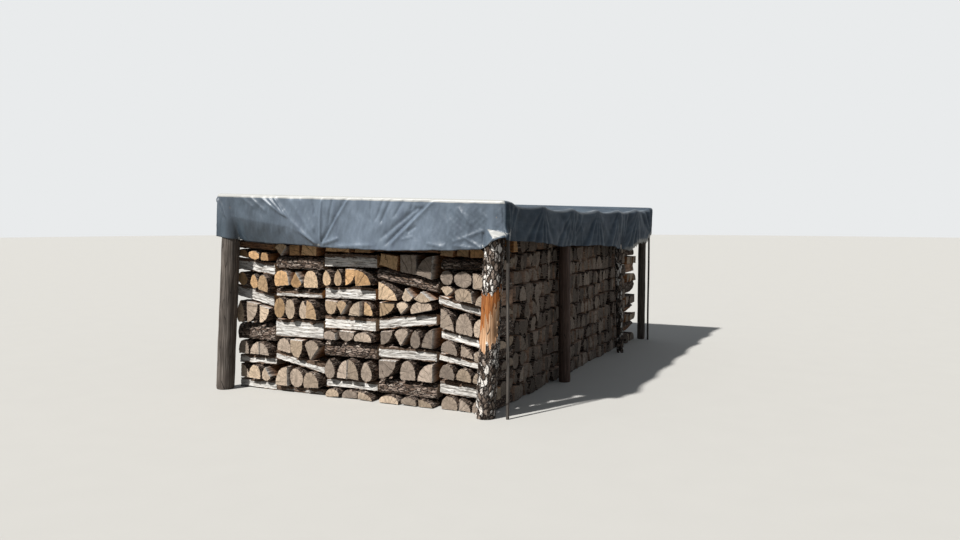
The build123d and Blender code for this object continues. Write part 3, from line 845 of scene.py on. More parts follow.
def fan(a, z, centre, knots, reach, hanging=False):
    """Facets that spread from one point like a half-open paper fan. Each knot is an angle in degrees from
    straight up, or from straight down for a hanging fan, and how far the sheet stands out there per metre."""
    across, up = a - centre[0], z - centre[1]
    far = np.hypot(across, up)
    angle = np.degrees(np.arctan2(across, -up if hanging else up))
    angles, rises = zip(*knots)
    form = sum(np.interp(angle + turn, angles, rises) for turn in (-1.5, 0, 1.5)) / 3
    return form * reach * (1 - np.exp(-far / reach)) * np.exp(-(far / (2.6 * reach)) ** 4)


def uneven_knots(rng, knots):
    """The knots of one fan, each a little different."""
    return [(angle + rng.uniform(-4, 4), rise * rng.uniform(0.6, 1.5)) for angle, rise in knots]


def crease(a, z, start, stop, height, width):
    """One straight fold: a ridge, or a valley where its height is negative. It fades out at both ends."""
    way = np.subtract(stop, start)
    length = np.hypot(*way)
    way = way / length
    along = ((a - start[0]) * way[0] + (z - start[1]) * way[1]) / length
    off = (a - start[0]) * way[1] - (z - start[1]) * way[0]
    fade = smoothstep(-0.05, 0.12, along) * smoothstep(1.06, 0.85, along)
    return height * np.exp(0.3 - np.sqrt((off / width) ** 2 + 0.09)) * fade


def pull(a, down, places):
    """How far the sheet is drawn in towards one side's nails: each has a place, a depth and a width."""
    total = 0
    for place, depth, width in places:
        total = total - depth * np.exp(-((a - place) / width) ** 2) * down ** 1.3
    return total


# Nails of each side: place along the side, how far in the sheet is drawn, and how wide
NAILS = {
    "front": [(-1.24, 0.030, 0.16), (-0.34, 0.055, 0.42), (1.225, 0.018, 0.16)],
    "right": [(-2.283, 0.010, 0.14), (-0.69, 0.058, 0.36), (1.165, 0.066, 0.40), (2.283, 0.010, 0.14)],
    "back": [(1.30, 0.012, 0.15), (0.30, 0.090, 0.45), (-1.314, 0.006, 0.15)],
    "left": [(2.30, 0.040, 0.14), (1.165, 0.045, 0.4), (-0.69, 0.042, 0.4), (-2.312, 0.003, 0.14)],
}

SUPPORTS = []

# Fans of folds that rise from the nails and that hang from the ends of the rafters
NAIL_FAN = [(-82, 0), (-66, 0.05), (-54, 0.0), (-40, 0.075), (-29, 0.01), (-15, 0.065), (-4, 0), (8, 0.055),
            (19, 0.0), (33, 0.085), (46, 0.01), (61, 0.05), (80, 0)]
RAFTER_FAN = [(-72, 0), (-58, 0.045), (-47, 0.0), (-35, 0.08), (-25, 0.015), (-13, 0.07), (-4, 0.0),
              (7, 0.06), (17, 0.01), (29, 0.075), (41, 0.0), (56, 0.045), (72, 0)]
MIDDLE_FAN = [(-64, 0), (-54, 0.030), (-40, 0.004), (-24, 0.022), (-9, 0.0), (3, 0.018), (14, 0), (30, 0.026),
              (46, 0.004), (62, 0.018), (78, 0)]

# The folds of the front one by one: where each starts and stops, its height and its width
FRONT_FOLDS = [
    ((-1.414, 1.763), (-1.240, 1.426), 0.016, 0.011), ((-1.36, 1.74), (-1.262, 1.50), -0.006, 0.010),
    ((-1.036, 1.765), (-0.860, 1.63), 0.007, 0.011), ((-1.14, 1.765), (-0.98, 1.66), 0.005, 0.014),
    ((-0.926, 1.768), (-0.660, 1.590), 0.012, 0.010), ((-0.840, 1.768), (-0.640, 1.580), 0.012, 0.009),
    ((-0.774, 1.768), (-0.610, 1.560), 0.013, 0.010), ((-0.622, 1.569), (-0.335, 1.335), 0.009, 0.022),
    ((-0.54, 1.475), (-0.355, 1.350), 0.007, 0.009), ((-0.611, 1.755), (-0.345, 1.365), 0.010, 0.030),
    ((-0.50, 1.75), (-0.36, 1.45), 0.006, 0.014), ((-0.362, 1.74), (-0.355, 1.594), -0.012, 0.009),
    ((-0.264, 1.745), (-0.320, 1.345), 0.011, 0.009), ((-0.155, 1.745), (-0.225, 1.511), -0.013, 0.009),
    ((-0.02, 1.745), (-0.318, 1.350), -0.020, 0.012), ((0.015, 1.745), (-0.295, 1.350), 0.010, 0.010),
    ((-0.30, 1.352), (-0.12, 1.404), 0.011, 0.012), ((-0.17, 1.333), (0.24, 1.352), 0.007, 0.012),
    ((0.222, 1.74), (0.211, 1.546), -0.010, 0.009), ((0.345, 1.74), (0.263, 1.554), -0.012, 0.010),
    ((0.418, 1.74), (0.305, 1.530), -0.016, 0.010), ((0.545, 1.74), (0.428, 1.571), -0.013, 0.012),
    ((0.645, 1.74), (0.585, 1.638), -0.011, 0.009), ((0.765, 1.74), (0.295, 1.401), -0.024, 0.020),
    ((0.800, 1.74), (0.345, 1.355), -0.030, 0.012), ((0.835, 1.74), (0.390, 1.350), 0.013, 0.014),
    ((0.645, 1.512), (0.560, 1.460), -0.013, 0.008), ((0.50, 1.40), (0.62, 1.43), 0.004, 0.008),
    ((0.737, 1.375), (0.896, 1.346), 0.005, 0.010), ((0.855, 1.342), (0.912, 1.372), 0.003, 0.011),
    ((0.966, 1.386), (1.078, 1.426), 0.005, 0.011), ((1.070, 1.424), (1.235, 1.482), 0.007, 0.012),
    ((1.226, 1.336), (1.070, 1.424), 0.009, 0.012), ((1.226, 1.336), (1.231, 1.470), -0.016, 0.011),
    ((1.345, 1.425), (1.226, 1.330), 0.010, 0.011), ((1.226, 1.336), (0.96, 1.36), 0.006, 0.014),
    ((1.388, 1.70), (1.428, 1.482), -0.016, 0.010), ((1.02, 1.66), (1.13, 1.52), 0.005, 0.010),
]


def rafter_places():
    """The rafters, from the front to the back, by the middle of their nodes."""
    boxes = [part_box(rafter) for rafter in RAFTERS]
    return [(low.y + high.y) / 2 for low, high in boxes]


def between_rafters(y):
    """0 where the sheet lies on a rafter, and up to 1 half way to the next."""
    places = rafter_places()
    y = np.asarray(y, float)
    share = np.interp(y, places, range(len(places)))
    off = np.abs(share - np.round(share)) * 2
    return np.sin(np.pi / 2 * np.clip((off - 0.09) / 0.91, 0, 1))


def tarpaulin_edge(step_front, step_right, step_far):
    """The sheet's upper edge, seen from above: places, outward ways, sides, and places along the sides."""
    x, y = HALF_WIDTH - CORNER, HALF_DEPTH - CORNER
    runs = [
        ("front", "right", (-x, -HALF_DEPTH), (x, -HALF_DEPTH), (0, -1), step_front, (x, -y), -90),
        ("right", "back", (HALF_WIDTH, -y), (HALF_WIDTH, y), (1, 0), step_right, (x, y), 0),
        ("back", "left", (x, HALF_DEPTH), (-x, HALF_DEPTH), (0, 1), step_far, (-x, y), 90),
        ("left", "front", (-HALF_WIDTH, y), (-HALF_WIDTH, -y), (-1, 0), step_far, (-x, -y), 180),
    ]
    places, ways, names = [], [], []
    for side, following, start, stop, way, step, pivot, angle in runs:
        start, stop = np.array(start), np.array(stop)
        count = round(float(np.linalg.norm(stop - start)) / step)
        for k in range(count + 1):
            places.append(start + (stop - start) * k / count)
            ways.append(way)
            names.append(side)
        for k in range(1, 5):
            turn = math.radians(angle + 90 * k / 5)
            way = (math.cos(turn), math.sin(turn))
            places.append(np.array(pivot) + CORNER * np.array(way))
            ways.append(way)
            names.append(side if k < 3 else following)
    places, ways = np.array(places), np.array(ways)
    along = np.where([n in ("front", "back") for n in names], places[:, 0], places[:, 1])
    return places, ways, np.array(names), along


def supports():
    """The posts and laths behind the hanging sides, as poles: foot, head and half width of each."""
    found = []
    for node in POSTS:
        found.append((*pole_ends(node, post_radius(node)), post_radius(node)))
    for node in LATHS:
        low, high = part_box(node)
        x, y = (low.x + high.x) / 2, (low.y + high.y) / 2
        found.append((Vector((x, y, 0.0)), Vector((x, y, high.z)), LATH_RADIUS))
    return found


def held_out(side, a, z, out, gap=0.005):
    """Keeps a hanging side in front of the posts and laths that it passes."""
    axis, sign = FACING[side]
    for foot, head, radius in SUPPORTS:
        share = z / head.z
        middle = foot[1 - axis] + (head[1 - axis] - foot[1 - axis]) * share
        depth = foot[axis] + (head[axis] - foot[axis]) * share
        off = np.abs(a - middle) / (radius + gap)
        surface = depth * sign + (radius + gap) * np.sqrt(np.clip(1 - off ** 2, 0, 1)) - COVER_HIGH[axis]
        lifted = np.where(off < 1, np.maximum(out, surface), out)
        # Beside the pole the sheet leaves it at a slant.
        slant = surface - 0.9 * np.clip(off - 1, 0, 9) * (radius + gap)
        out = np.where(off < 1, lifted, np.maximum(out, np.where(surface > -0.1, slant, out)))
    # The rafters: an end one lies along the sheet, and the others meet it with their ends.
    for rafter in RAFTERS:
        low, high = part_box(rafter)
        radius = (high.y - low.y) / 2 + gap
        across = a if axis == 1 else HALF_WIDTH * sign
        fall = np.interp(across, [low.x, high.x], [high.z, low.z + 2 * radius])
        level = np.abs(z - (fall - radius)) / radius
        if axis == 1:
            rise = radius * np.sqrt(np.clip(1 - level ** 2, 0, 1))
            surface = (low.y + high.y) / 2 * sign + rise - HALF_DEPTH
            out = np.where(level < 1, np.maximum(out, surface), out)
        else:
            off = np.abs(a - (low.y + high.y) / 2) / radius
            end = (high.x if sign > 0 else -low.x) + gap - COVER_HIGH.x
            out = np.where((level < 1) & (off < 1), np.maximum(out, end), out)
    return out


def old_fold(a):
    """Height of the front's old folding line, and of the fold that runs on from it to the middle nail."""
    return np.interp(a, [-1.42, -1.33, -0.62, -0.33, -0.25], [1.56, 1.60, 1.50, 1.34, 1.30])


def hanging_shape(side, a, z, top, hem, rng):
    """How far one hanging side stands out from its flat form, at places a along it and z above the ground."""
    axis, sign = FACING[side]
    down = np.clip((top - z) / (top - hem), 0, 1)
    out = pull(a, down, NAILS[side])
    loose = smoothstep(0.02, 0.12, top - z)
    edge = np.clip((COVER_HIGH[1 - axis] - np.abs(a)) / 0.09, 0, 1)
    folds = 0
    for index, (place, _, _) in enumerate(NAILS[side]):
        knots = uneven_knots(rng, NAIL_FAN)
        middle = side == "front" and index == 1
        nail_z = np.interp(place, *hem_heights(side)) + 0.012
        if side != "front" or middle:
            folds = folds + fan(a, z, (place, nail_z), MIDDLE_FAN if middle else knots, 0.30)
    if axis == 0:
        for y in rafter_places()[1:-1]:
            eave = (y, float(cover_z(HALF_WIDTH, y)) + 0.01)
            folds = folds + fan(a, z, eave, uneven_knots(rng, RAFTER_FAN), 0.26, hanging=True)
    fine = 0.0022 if side == "front" else 0.0010
    waves = 0.006 * ripple(rng, a / 0.55, z / 0.8, 3) + fine * ripple(rng, a / 0.13, z / 0.3, 3)
    out = out + folds * edge + waves * loose * edge
    if side == "front":
        for fold in FRONT_FOLDS:
            out = out + (1.4 if fold[2] > 0 else 0.75) * crease(a, z, *fold)
        # Below the old folding line the sheet leans in.
        lean = np.sqrt(np.maximum(old_fold(a) - z, 0) ** 2 + 0.004 ** 2)
        out = out - 0.34 * lean * smoothstep(-1.40, -1.26, a)
        out = out + 0.0016 * ripple(rng, a / 0.09, z / 0.07, 3) * smoothstep(0.80, 1.05, a) * loose
        # The corner is folded up into a shelf that catches the light.
        shelf = 1.497 - 0.2 * (a - 1.26)
        out = out + 0.055 * smoothstep(1.245, 1.34, a) * smoothstep(shelf + 0.004, shelf - 0.036, z)
    if side == "left":
        # It bulges out at its front end.
        out = out + 0.022 * down * np.exp(-((a + HALF_DEPTH) / 0.25) ** 2)
    if side == "right":
        # A slanting ridge, and the loose lower end at the front corner
        seam = -0.58 + 0.22 * down
        out = out + 0.008 * np.exp(-np.abs(a - seam) / 0.008) * loose
        out = out + 0.030 * smoothstep(-2.30, -2.38, a) * smoothstep(0.62, 0.9, down)
    return held_out(side, a, z, out)


def eave_sag(y):
    """How deep the sheet sags at one place along the store, from 0 to 1. It is taut at both ends."""
    return between_rafters(y) * np.clip((HALF_DEPTH - 0.06 - np.abs(y)) / 0.2, 0, 1)


def hanging_sides(step_front, step_right, step_far, rows):
    """The rows of vertices of the four sides, from the bend down to the hem, and what they are made from."""
    rng = random.Random(41)
    places, ways, names, along = tarpaulin_edge(step_front, step_right, step_far)
    sag = eave_sag(places[:, 1]) * np.isin(names, ("right", "left"))
    eave = places - ways * (DRAWN_IN * sag)[:, None]
    eave_z = cover_z(places[:, 0], places[:, 1]) - SAG * sag
    hem = np.zeros(len(places))
    for side in FACING:
        mine = names == side
        uneven = 0.004 * ripple(rng, along[mine] / 0.5, 0 * along[mine], 3)
        if side == "right":
            torn = smoothstep(1.35, 1.55, along[mine]) * smoothstep(2.36, 2.2, along[mine])
            uneven = uneven + torn * 0.018 * ripple(rng, along[mine] / 0.09, 0 * along[mine], 4)
        hem[mine] = np.interp(along[mine], *hem_heights(side)) + uneven
    shell = []
    for degrees in BEND_TURNS:
        turn = math.radians(degrees)
        inward = BEND * (1 - math.sin(turn))
        shell.append(np.column_stack([eave - ways * inward, eave_z - BEND * (1 - math.cos(turn))]))
    start = eave_z - BEND
    for share in np.linspace(0, 1, rows + 1)[1:]:
        shell.append(np.column_stack([eave, start + (hem - start) * share]))
    shell = np.array(shell)
    crests = np.zeros(shell.shape[:2])
    for side in FACING:
        mine = names == side
        a = np.tile(along[mine], (len(shell), 1))
        z, top = shell[:, mine, 2], eave_z[mine][None]
        out = hanging_shape(side, a, z, top, hem[mine][None], random.Random("folds " + side))
        out = out * smoothstep(0.006, 0.045, top - z)
        shell[:, mine, :2] += out[..., None] * ways[mine][None]
        # A fold's crest stands out from the mean of the 120 mm around it.
        reach = round(0.06 / abs(a[0, 1] - a[0, 0]))
        window = np.ones(2 * reach + 1) / (2 * reach + 1)
        mean = [np.convolve(np.pad(row, reach, mode="edge"), window, "valid") for row in out]
        crests[:, mine] = np.clip((out - np.array(mean)) / 0.005, -1, 1)
    return shell, names, eave_z, hem, crests


def top_places():
    """The top's vertices, seen from above: close along its edges, and on and between the rafters."""
    inner = []
    for spacing, depth in ((0.03, 0.02), (0.05, 0.05)):
        x, y = HALF_WIDTH - BEND - depth, HALF_DEPTH - BEND - depth
        for a in np.arange(-x, x + 1e-6, 2 * x / round(2 * x / spacing)):
            inner += [(a, -y), (a, y)]
        for b in np.arange(-y + spacing, y - spacing / 2, 2 * y / round(2 * y / spacing)):
            inner += [(-x, b), (x, b)]
    on_rafters = [y + off for y in rafter_places()[1:-1] for off in (-0.033, 0.0, 0.033)]
    between = [y for y in np.linspace(-2.28, 2.28, 76) if min(abs(y - b) for b in on_rafters) > 0.012]
    rows = sorted(on_rafters + between)
    inner += [(a, b) for a in np.linspace(-1.30, 1.30, 35) for b in rows]
    return inner


def corner_highlight(co):
    """1 on the front's folded-up corner, which carries a pale painted highlight, and 0 elsewhere."""
    patch = np.ones(len(co))
    for (x1, z1), (x2, z2) in (((1.264, 1.492), (1.44, 1.460)), ((1.44, 1.455), (1.345, 1.420)),
                               ((1.345, 1.420), (1.264, 1.492))):
        inside = ((z2 - z1) * (co[:, 0] - x1) - (x2 - x1) * (co[:, 2] - z1)) / math.hypot(x2 - x1, z2 - z1)
        patch = patch * smoothstep(-0.004, 0.006, inside)
    return patch * (co[:, 1] < -HALF_DEPTH + 0.1)


def colour_sheet(mesh, co, shell, names, hem, crests):
    """Where the sheet is dusty or carries a painted highlight, where it has faded or is painted lighter or
    darker as light and shade, and which part of it lies level.
    """
    rim = len(BEND_TURNS) * len(names)
    sides = shell.shape[0] * shell.shape[1]
    dirt = np.full(len(co), 0.25)
    # Dust settles where the top sags between the rafters.
    dirt[sides:] = 0.30 + 0.15 * between_rafters(co[sides:, 1]) ** 2
    # The bend along the top edge is painted pale: dust and wear, and on the sunlit front a painted highlight.
    rim_wear_and_highlight = {"front": 1.5, "right": 0.55, "back": 0.7, "left": 0.9}
    dirt[:rim] = np.tile([rim_wear_and_highlight[n] for n in names], len(BEND_TURNS))
    low_hem = np.zeros(len(co))
    low_hem[:sides] = smoothstep(0.07, 0.0, (shell[..., 2] - hem[None])).ravel()
    torn = smoothstep(1.2, 1.6, co[:, 1]) * (co[:, 0] > 1.2) * low_hem
    # The folded-up corner gets its painted highlight through the same attribute as the dust.
    set_attribute(mesh, "dirt", dirt + 0.15 * low_hem + 1.6 * torn + 1.4 * corner_highlight(co))
    # Each side's share of the faded, lit colour: sun fading on the front, and painted shade on the sides that
    # hang out of the sun.
    sunlit = {"front": 1.0, "right": 0.48, "back": 0.55, "left": 0.5}
    faded = np.full(len(co), 0.22)
    # The crests of the folds are painted lighter and the hollows between them darker: painted light and shade
    # on the folds.
    crest_light_and_shade = np.where(names == "front", 0.10, 0.50)
    faded[:sides] = (np.array([sunlit[n] for n in names]) * (1 + crest_light_and_shade * crests)).ravel()
    faded[:rim] = np.tile([max(0.4, sunlit[n]) for n in names], len(BEND_TURNS))
    # The ends of the front and what lies below the old folding line are painted darker, as painted shade.
    shade = 0.70 * smoothstep(-0.45, -1.05, co[:, 0]) + 0.46 * smoothstep(0.6, 1.1, co[:, 0])
    shade = shade + 0.26 * smoothstep(-0.01, 0.09, old_fold(co[:, 0]) - co[:, 2])
    faded = faded * (1 - shade * (co[:, 1] < -2.3))
    # The right side's front end is painted darker too, as painted shade.
    faded = faded * (1 - 0.40 * smoothstep(-1.2, -2.2, co[:, 1]) * (co[:, 0] > 1.38) * (co[:, 1] > -2.36))
    set_attribute(mesh, "faded", faded)
    level = np.zeros(len(co))
    level[sides:] = 1.0
    level[:2 * len(names)] = 1.0
    set_attribute(mesh, "level", level)


def tarpaulin_piece(finishes, thickness, step_front, step_right, step_far, rows):
    """The sheet as one object, with the flat places of its cloth as its UV map."""
    shell, names, eave_z, hem, crests = hanging_sides(step_front, step_right, step_far, rows)
    levels, count = shell.shape[:2]
    points = [Vector(p) for p in shell[0, :, :2]] + [Vector(p) for p in top_places()]
    flat, _, triangles, origin, _, _ = delaunay_2d_cdt(points, [], [list(range(count))], 1, 1e-7)
    numbers, vertices = [], shell.reshape(-1, 3).tolist()
    cloth = []
    for row in shell:
        for c in range(count):
            (x, y), down = shell[0, c, :2], eave_z[c] - row[c, 2]
            cloth.append({"front": (x, -HALF_DEPTH - down), "back": (x, HALF_DEPTH + down),
                          "right": (HALF_WIDTH + down, y), "left": (-HALF_WIDTH - down, y)}[names[c]])
    xy = np.array([tuple(p) for p in flat])
    sag = eave_sag(xy[:, 1])
    inside = np.prod(np.clip((np.array(COVER_HIGH[:2]) - 0.02 - np.abs(xy)) / 0.15, 0, 1), axis=1)
    hollows = 0.006 + 0.004 * ripple(random.Random(11), xy[:, 0] / 0.5, xy[:, 1] / 0.7, 4)
    heights = cover_z(xy[:, 0], xy[:, 1]) - SAG * sag - inside * sag * hollows
    for i, source in enumerate(origin):
        if source and source[0] < count:
            numbers.append(source[0])
        else:
            numbers.append(len(vertices))
            vertices.append((xy[i, 0], xy[i, 1], heights[i]))
            cloth.append((xy[i, 0], xy[i, 1]))
    faces = [tuple(numbers[i] for i in f) for f in triangles]
    for r in range(levels - 1):
        for c in range(count):
            d = (c + 1) % count
            faces.append((r * count + c, (r + 1) * count + c, (r + 1) * count + d, r * count + d))
    mesh = bpy.data.meshes.new("tarpaulin")
    mesh.from_pydata(vertices, [], faces)
    for finish in finishes:
        mesh.materials.append(finish)
    corner = np.zeros(len(mesh.loops), np.int32)
    mesh.loops.foreach_get("vertex_index", corner)
    mesh.uv_layers.new(name="cloth").data.foreach_set(
        "uv", np.array(cloth)[corner].astype(np.float32).ravel())
    colour_sheet(mesh, np.array(vertices), shell, names, hem, crests)
    centres = np.array([polygon.center for polygon in mesh.polygons])
    # The front flap, in the sun, takes the satin copy; the rest takes the dull copy, so the shaded sides and
    # the top reflect less.
    dull = (centres[:, 1] > -HALF_DEPTH + 0.14) | (centres[:, 0] > HALF_WIDTH - 0.006)
    dull[:len(triangles)] = True
    mesh.polygons.foreach_set("material_index", dull.astype(np.int32))
    mesh.shade_smooth()
    mesh.update()
    sheet = new_object("tarpaulin", mesh)
    grow = sheet.modifiers.new("thickness", "SOLIDIFY")
    grow.thickness = thickness
    grow.offset = -1
    return baked(sheet)


# Nails

def nail_tree():
    """Geometry nodes: a washer and a nail head on every point, square to the surface."""
    tree = bpy.data.node_groups.new("nails_with_washers", "GeometryNodeTree")
    tree.interface.new_socket("Geometry", in_out="INPUT", socket_type="NodeSocketGeometry")
    for name, value in (("Head radius", 0.006), ("Washer radius", 0.013), ("Washer thickness", 0.002)):
        socket = tree.interface.new_socket(name, in_out="INPUT", socket_type="NodeSocketFloat")
        socket.default_value = value
        socket.subtype = "DISTANCE"
    tree.interface.new_socket("Steel", in_out="INPUT", socket_type="NodeSocketMaterial")
    tree.interface.new_socket("Geometry", in_out="OUTPUT", socket_type="NodeSocketGeometry")
    given = add(tree, "NodeGroupInput").outputs
    out = add(tree, "GeometryNodeInputNamedAttribute", {"Name": "out"}, data_type="FLOAT_VECTOR")
    facing = add(tree, "FunctionNodeAlignRotationToVector", {"Vector": out}, axis="Z")
    washer = add(tree, "GeometryNodeMeshCylinder",
                 {"Vertices": 16, "Radius": given["Washer radius"], "Depth": given["Washer thickness"]})
    ball = add(tree, "GeometryNodeMeshUVSphere", {"Segments": 12, "Rings": 8, "Radius": given["Head radius"]})
    head = add(tree, "GeometryNodeTransform", {"Geometry": ball, "Scale": (1.0, 1.0, 0.55)})
    both = add(tree, "GeometryNodeJoinGeometry")
    tree.links.new(washer.outputs["Mesh"], both.inputs[0])
    tree.links.new(head.outputs[0], both.inputs[0])
    placed = add(tree, "GeometryNodeInstanceOnPoints",
                 {"Points": given["Geometry"], "Instance": both, "Rotation": facing})
    real = add(tree, "GeometryNodeRealizeInstances", {"Geometry": placed})
    painted = add(tree, "GeometryNodeSetMaterial", {"Geometry": real, "Material": given["Steel"]})
    add(tree, "NodeGroupOutput", {"Geometry": painted})
    return tree


def geometry_nodes_piece(name, points, normals, tree, inputs):
    """A plain mesh piece from points that geometry nodes dress."""
    mesh = bpy.data.meshes.new(name)
    mesh.from_pydata([tuple(p) for p in points], [], [])
    set_attribute(mesh, "out", np.array(normals))
    piece = new_object(name, mesh)
    modifier = piece.modifiers.new("nodes", "NODES")
    modifier.node_group = tree
    for item in tree.interface.items_tree:
        if item.in_out == "INPUT" and item.name in inputs:
            modifier[item.identifier] = inputs[item.name]
    return baked(piece)


# Settings and operators

class FirewoodSettings(bpy.types.PropertyGroup):
    """Detail of the split logs."""
    step: bpy.props.FloatProperty(
        name="Section step", unit="LENGTH", default=0.010,
        description="Distance between points round a log of the front")
    far_step: bpy.props.FloatProperty(
        name="Far section step", unit="LENGTH", default=0.020,
        description="Distance between points round the other logs")
    roughness: bpy.props.FloatProperty(
        name="Roughness", default=1.0, min=0, max=2,
        description="How deeply the split faces and the bark are torn")


class TarpaulinSettings(bpy.types.PropertyGroup):
    """Sizes of the tarpaulin."""
    thickness: bpy.props.FloatProperty(
        name="Thickness", unit="LENGTH", default=0.0022, description="Thickness of the sheet")
    step: bpy.props.FloatProperty(
        name="Fold step", unit="LENGTH", default=0.0065,
        description="Distance between columns of the front's folds")
    rows: bpy.props.IntProperty(
        name="Rows", default=40, description="Rows of faces down a hanging side")


class StageSettings(bpy.types.PropertyGroup):
    """Light and floor."""
    floor_colour: bpy.props.FloatVectorProperty(
        name="Floor colour", subtype="COLOR", size=3, default=linear("#BAB8B3")[:3],
        description="Colour of the floor")
    sun: bpy.props.FloatProperty(
        name="Key light", default=5.7, description="Strength of the key light")
    fill: bpy.props.FloatProperty(
        name="Fill light", default=0.24, description="Strength of the light all round")


class LOGSTORE_OT_firewood(bpy.types.Operator):
    """Rebuilds every log of the store in the place of its solid"""
    bl_idname = "log_store.firewood"
    bl_label = "Firewood"

    def execute(self, context):
        settings = context.scene.log_store_firewood
        made = materials()
        wood = [made["firewood_bark_dry"], made["firewood_face_split"], made["firewood_end_grain_sawn"]]
        boxes = {n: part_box(n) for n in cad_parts}
        sides = {
            "front": min(boxes[n][0].y for n in boxes if n.startswith("front_crib")),
            "back": max(boxes[n][1].y for n in boxes if n.startswith("back_crib")),
            "left": min(boxes[n][0].x for n in boxes if n.startswith("left_row")),
            "right": max(boxes[n][1].x for n in boxes if n.startswith("right_row")),
        }
        for node in sorted(n for n in boxes if "crib" in n or ("_row_" in n and "inner" not in n)):
            rng = random.Random("logs of " + node)
            parts = MeshParts()
            for log in log_prisms(node):
                place, step, detail, count = self.detail(settings, node, log[0] == 0)
                rings = ring_places(log[3].length, detail, count)
                add_log(parts, rng, log, step, rings, settings.roughness, sides, place)
            settle_piece(parts.piece("logs_" + node, wood), "firewood", node)
        for node in sorted(n for n in boxes if "inner_row" in n):
            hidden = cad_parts[node].data.materials
            hidden.clear()
            hidden.append(made["firewood_stacked_inside"])
        return {"FINISHED"}

    def detail(self, settings, node, across):
        """Where a node's logs lie, their section step, the end with most rings and the number of rings."""
        if node.startswith("front"):
            end, count = ("both", 28) if across else ("near", 9)
            return "front", settings.step, end, count
        if "crib" in node:
            end, count = ("both", 10) if across else ("far", 5)
            return "crib", settings.far_step, end, count
        # The right side's log ends show in the photograph, so their points lie closer.
        if node.startswith("right"):
            return "row", settings.far_step * 0.75, "far", 4
        return "row", settings.far_step, "near", 4


class LOGSTORE_OT_poles(bpy.types.Operator):
    """Rebuilds the posts, the plates, the rafters and the laths with wood or bark surfaces"""
    bl_idname = "log_store.poles"
    bl_label = "Poles"

    def execute(self, context):
        made = materials()
        grey, dark, bark = [[made[name], made["firewood_end_grain_sawn"]] for name in (
            "pole_stripped_weathered", "pole_dark_reddish", "post_bark_scaly")]
        for node in POSTS:
            rng, parts = random.Random("post " + node), MeshParts()
            radius = post_radius(node)
            ends = pole_ends(node, radius)
            if node == "front_right_post":
                self.stripped_post(parts, rng, *ends, radius)
                skins = bark + [made["pole_stripped_fresh"], made["pole_inner_bark"]]
            else:
                add_pole(parts, rng, ends, radius, 70, 40, 0.035)
                skins = {"right_post_2": dark, "right_post_3": bark}.get(node, grey)
            slot = "bark_pole" if skins[0] is bark[0] else "weathered_pole"
            settle_piece(parts.piece("pole_" + node, skins), slot, node)
        for node in ("left_plate", "right_plate"):
            low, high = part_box(node)
            places = [v.co.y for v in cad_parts[node].data.vertices]
            path = []
            for y in np.linspace(low.y, high.y, 9):
                near = min(places, key=lambda place: abs(place - y))
                path.append(((low.x + high.x) / 2, y, middle_height(node, 1, near, 0.02)))
            self.roof_pole(node, path, (high.x - low.x) / 2, 120, 28, grey)
        for node in RAFTERS:
            low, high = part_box(node)
            ends = [(x, (low.y + high.y) / 2, middle_height(node, 0, x, 0.01)) for x in (low.x, high.x)]
            self.roof_pole(node, ends, (high.y - low.y) / 2, 60, 24, grey)
        for node in LATHS:
            settle_piece(sawn_lath(node, made["lath_sawn_spruce"]), "lath", node)
        return {"FINISHED"}

    def roof_pole(self, node, path, radius, rings, segments, skins):
        """One plate or rafter, in the place of its node."""
        parts = MeshParts()
        add_pole(parts, random.Random(node), path, radius, rings, segments, 0.03)
        settle_piece(parts.piece("pole_" + node, skins), "weathered_pole", node)

    def stripped_post(self, parts, rng, foot, head, radius):
        """The front right post: scaly bark, stripped to the wood on the side that faces the front."""
        facing = math.radians(-66)
        noise = [(rng.uniform(3, 14), rng.uniform(5, 30), rng.uniform(0, 6)) for _ in range(7)]

        def ragged(angle, z):
            return sum(math.sin(f * angle + g * z + p) for f, g, p in noise) / 7

        def skin(angle, z):
            """The number of the skin at one place: 0 for bark, 2 for bare wood and 3 for inner bark."""
            turned = math.degrees((angle - facing + math.pi) % (2 * math.pi) - math.pi)
            rag = ragged(angle, z)
            upper = 0.80 + 0.25 * np.clip((turned + 90) / 130, 0, 1) + 0.05 * rag
            lower = 0.52 + 0.10 * np.clip((turned + 60) / 100, 0, 1) + 0.10 * rag
            if -112 + 20 * rag < turned < 56 + 26 * rag and lower < z:
                if z < upper - 0.13 + 0.10 * rag:
                    return 2
                if z < max(upper, 0.98 + 0.05 * rag):
                    return 3
            return 0

        way = (head - foot).normalized()
        side = way.cross(Vector((0, 1, 0))).normalized()
        other = way.cross(side)

        def world_angle(turn):
            spoke = math.cos(turn) * side + math.sin(turn) * other
            return math.atan2(spoke.y, spoke.x)

        def lump(angle, z):
            depth = np.zeros(angle.shape)
            for r in range(angle.shape[0]):
                for c in range(angle.shape[1]):
                    found = skin(world_angle(angle[r, c]), z[r, c])
                    depth[r, c] = {0: 0.0, 2: -0.007, 3: -0.004}[found]
            scales = ripple(rng, np.cos(angle) * 2.2 + np.sin(angle) * 1.1, z / 0.06, 4)
            return depth + np.where(depth == 0, 0.0035 * scales - 0.002, 0)

        add_pole(parts, rng, [foot, head], radius, 170, 80, 0.03,
                 lambda turn, z: skin(world_angle(turn), z), lump)


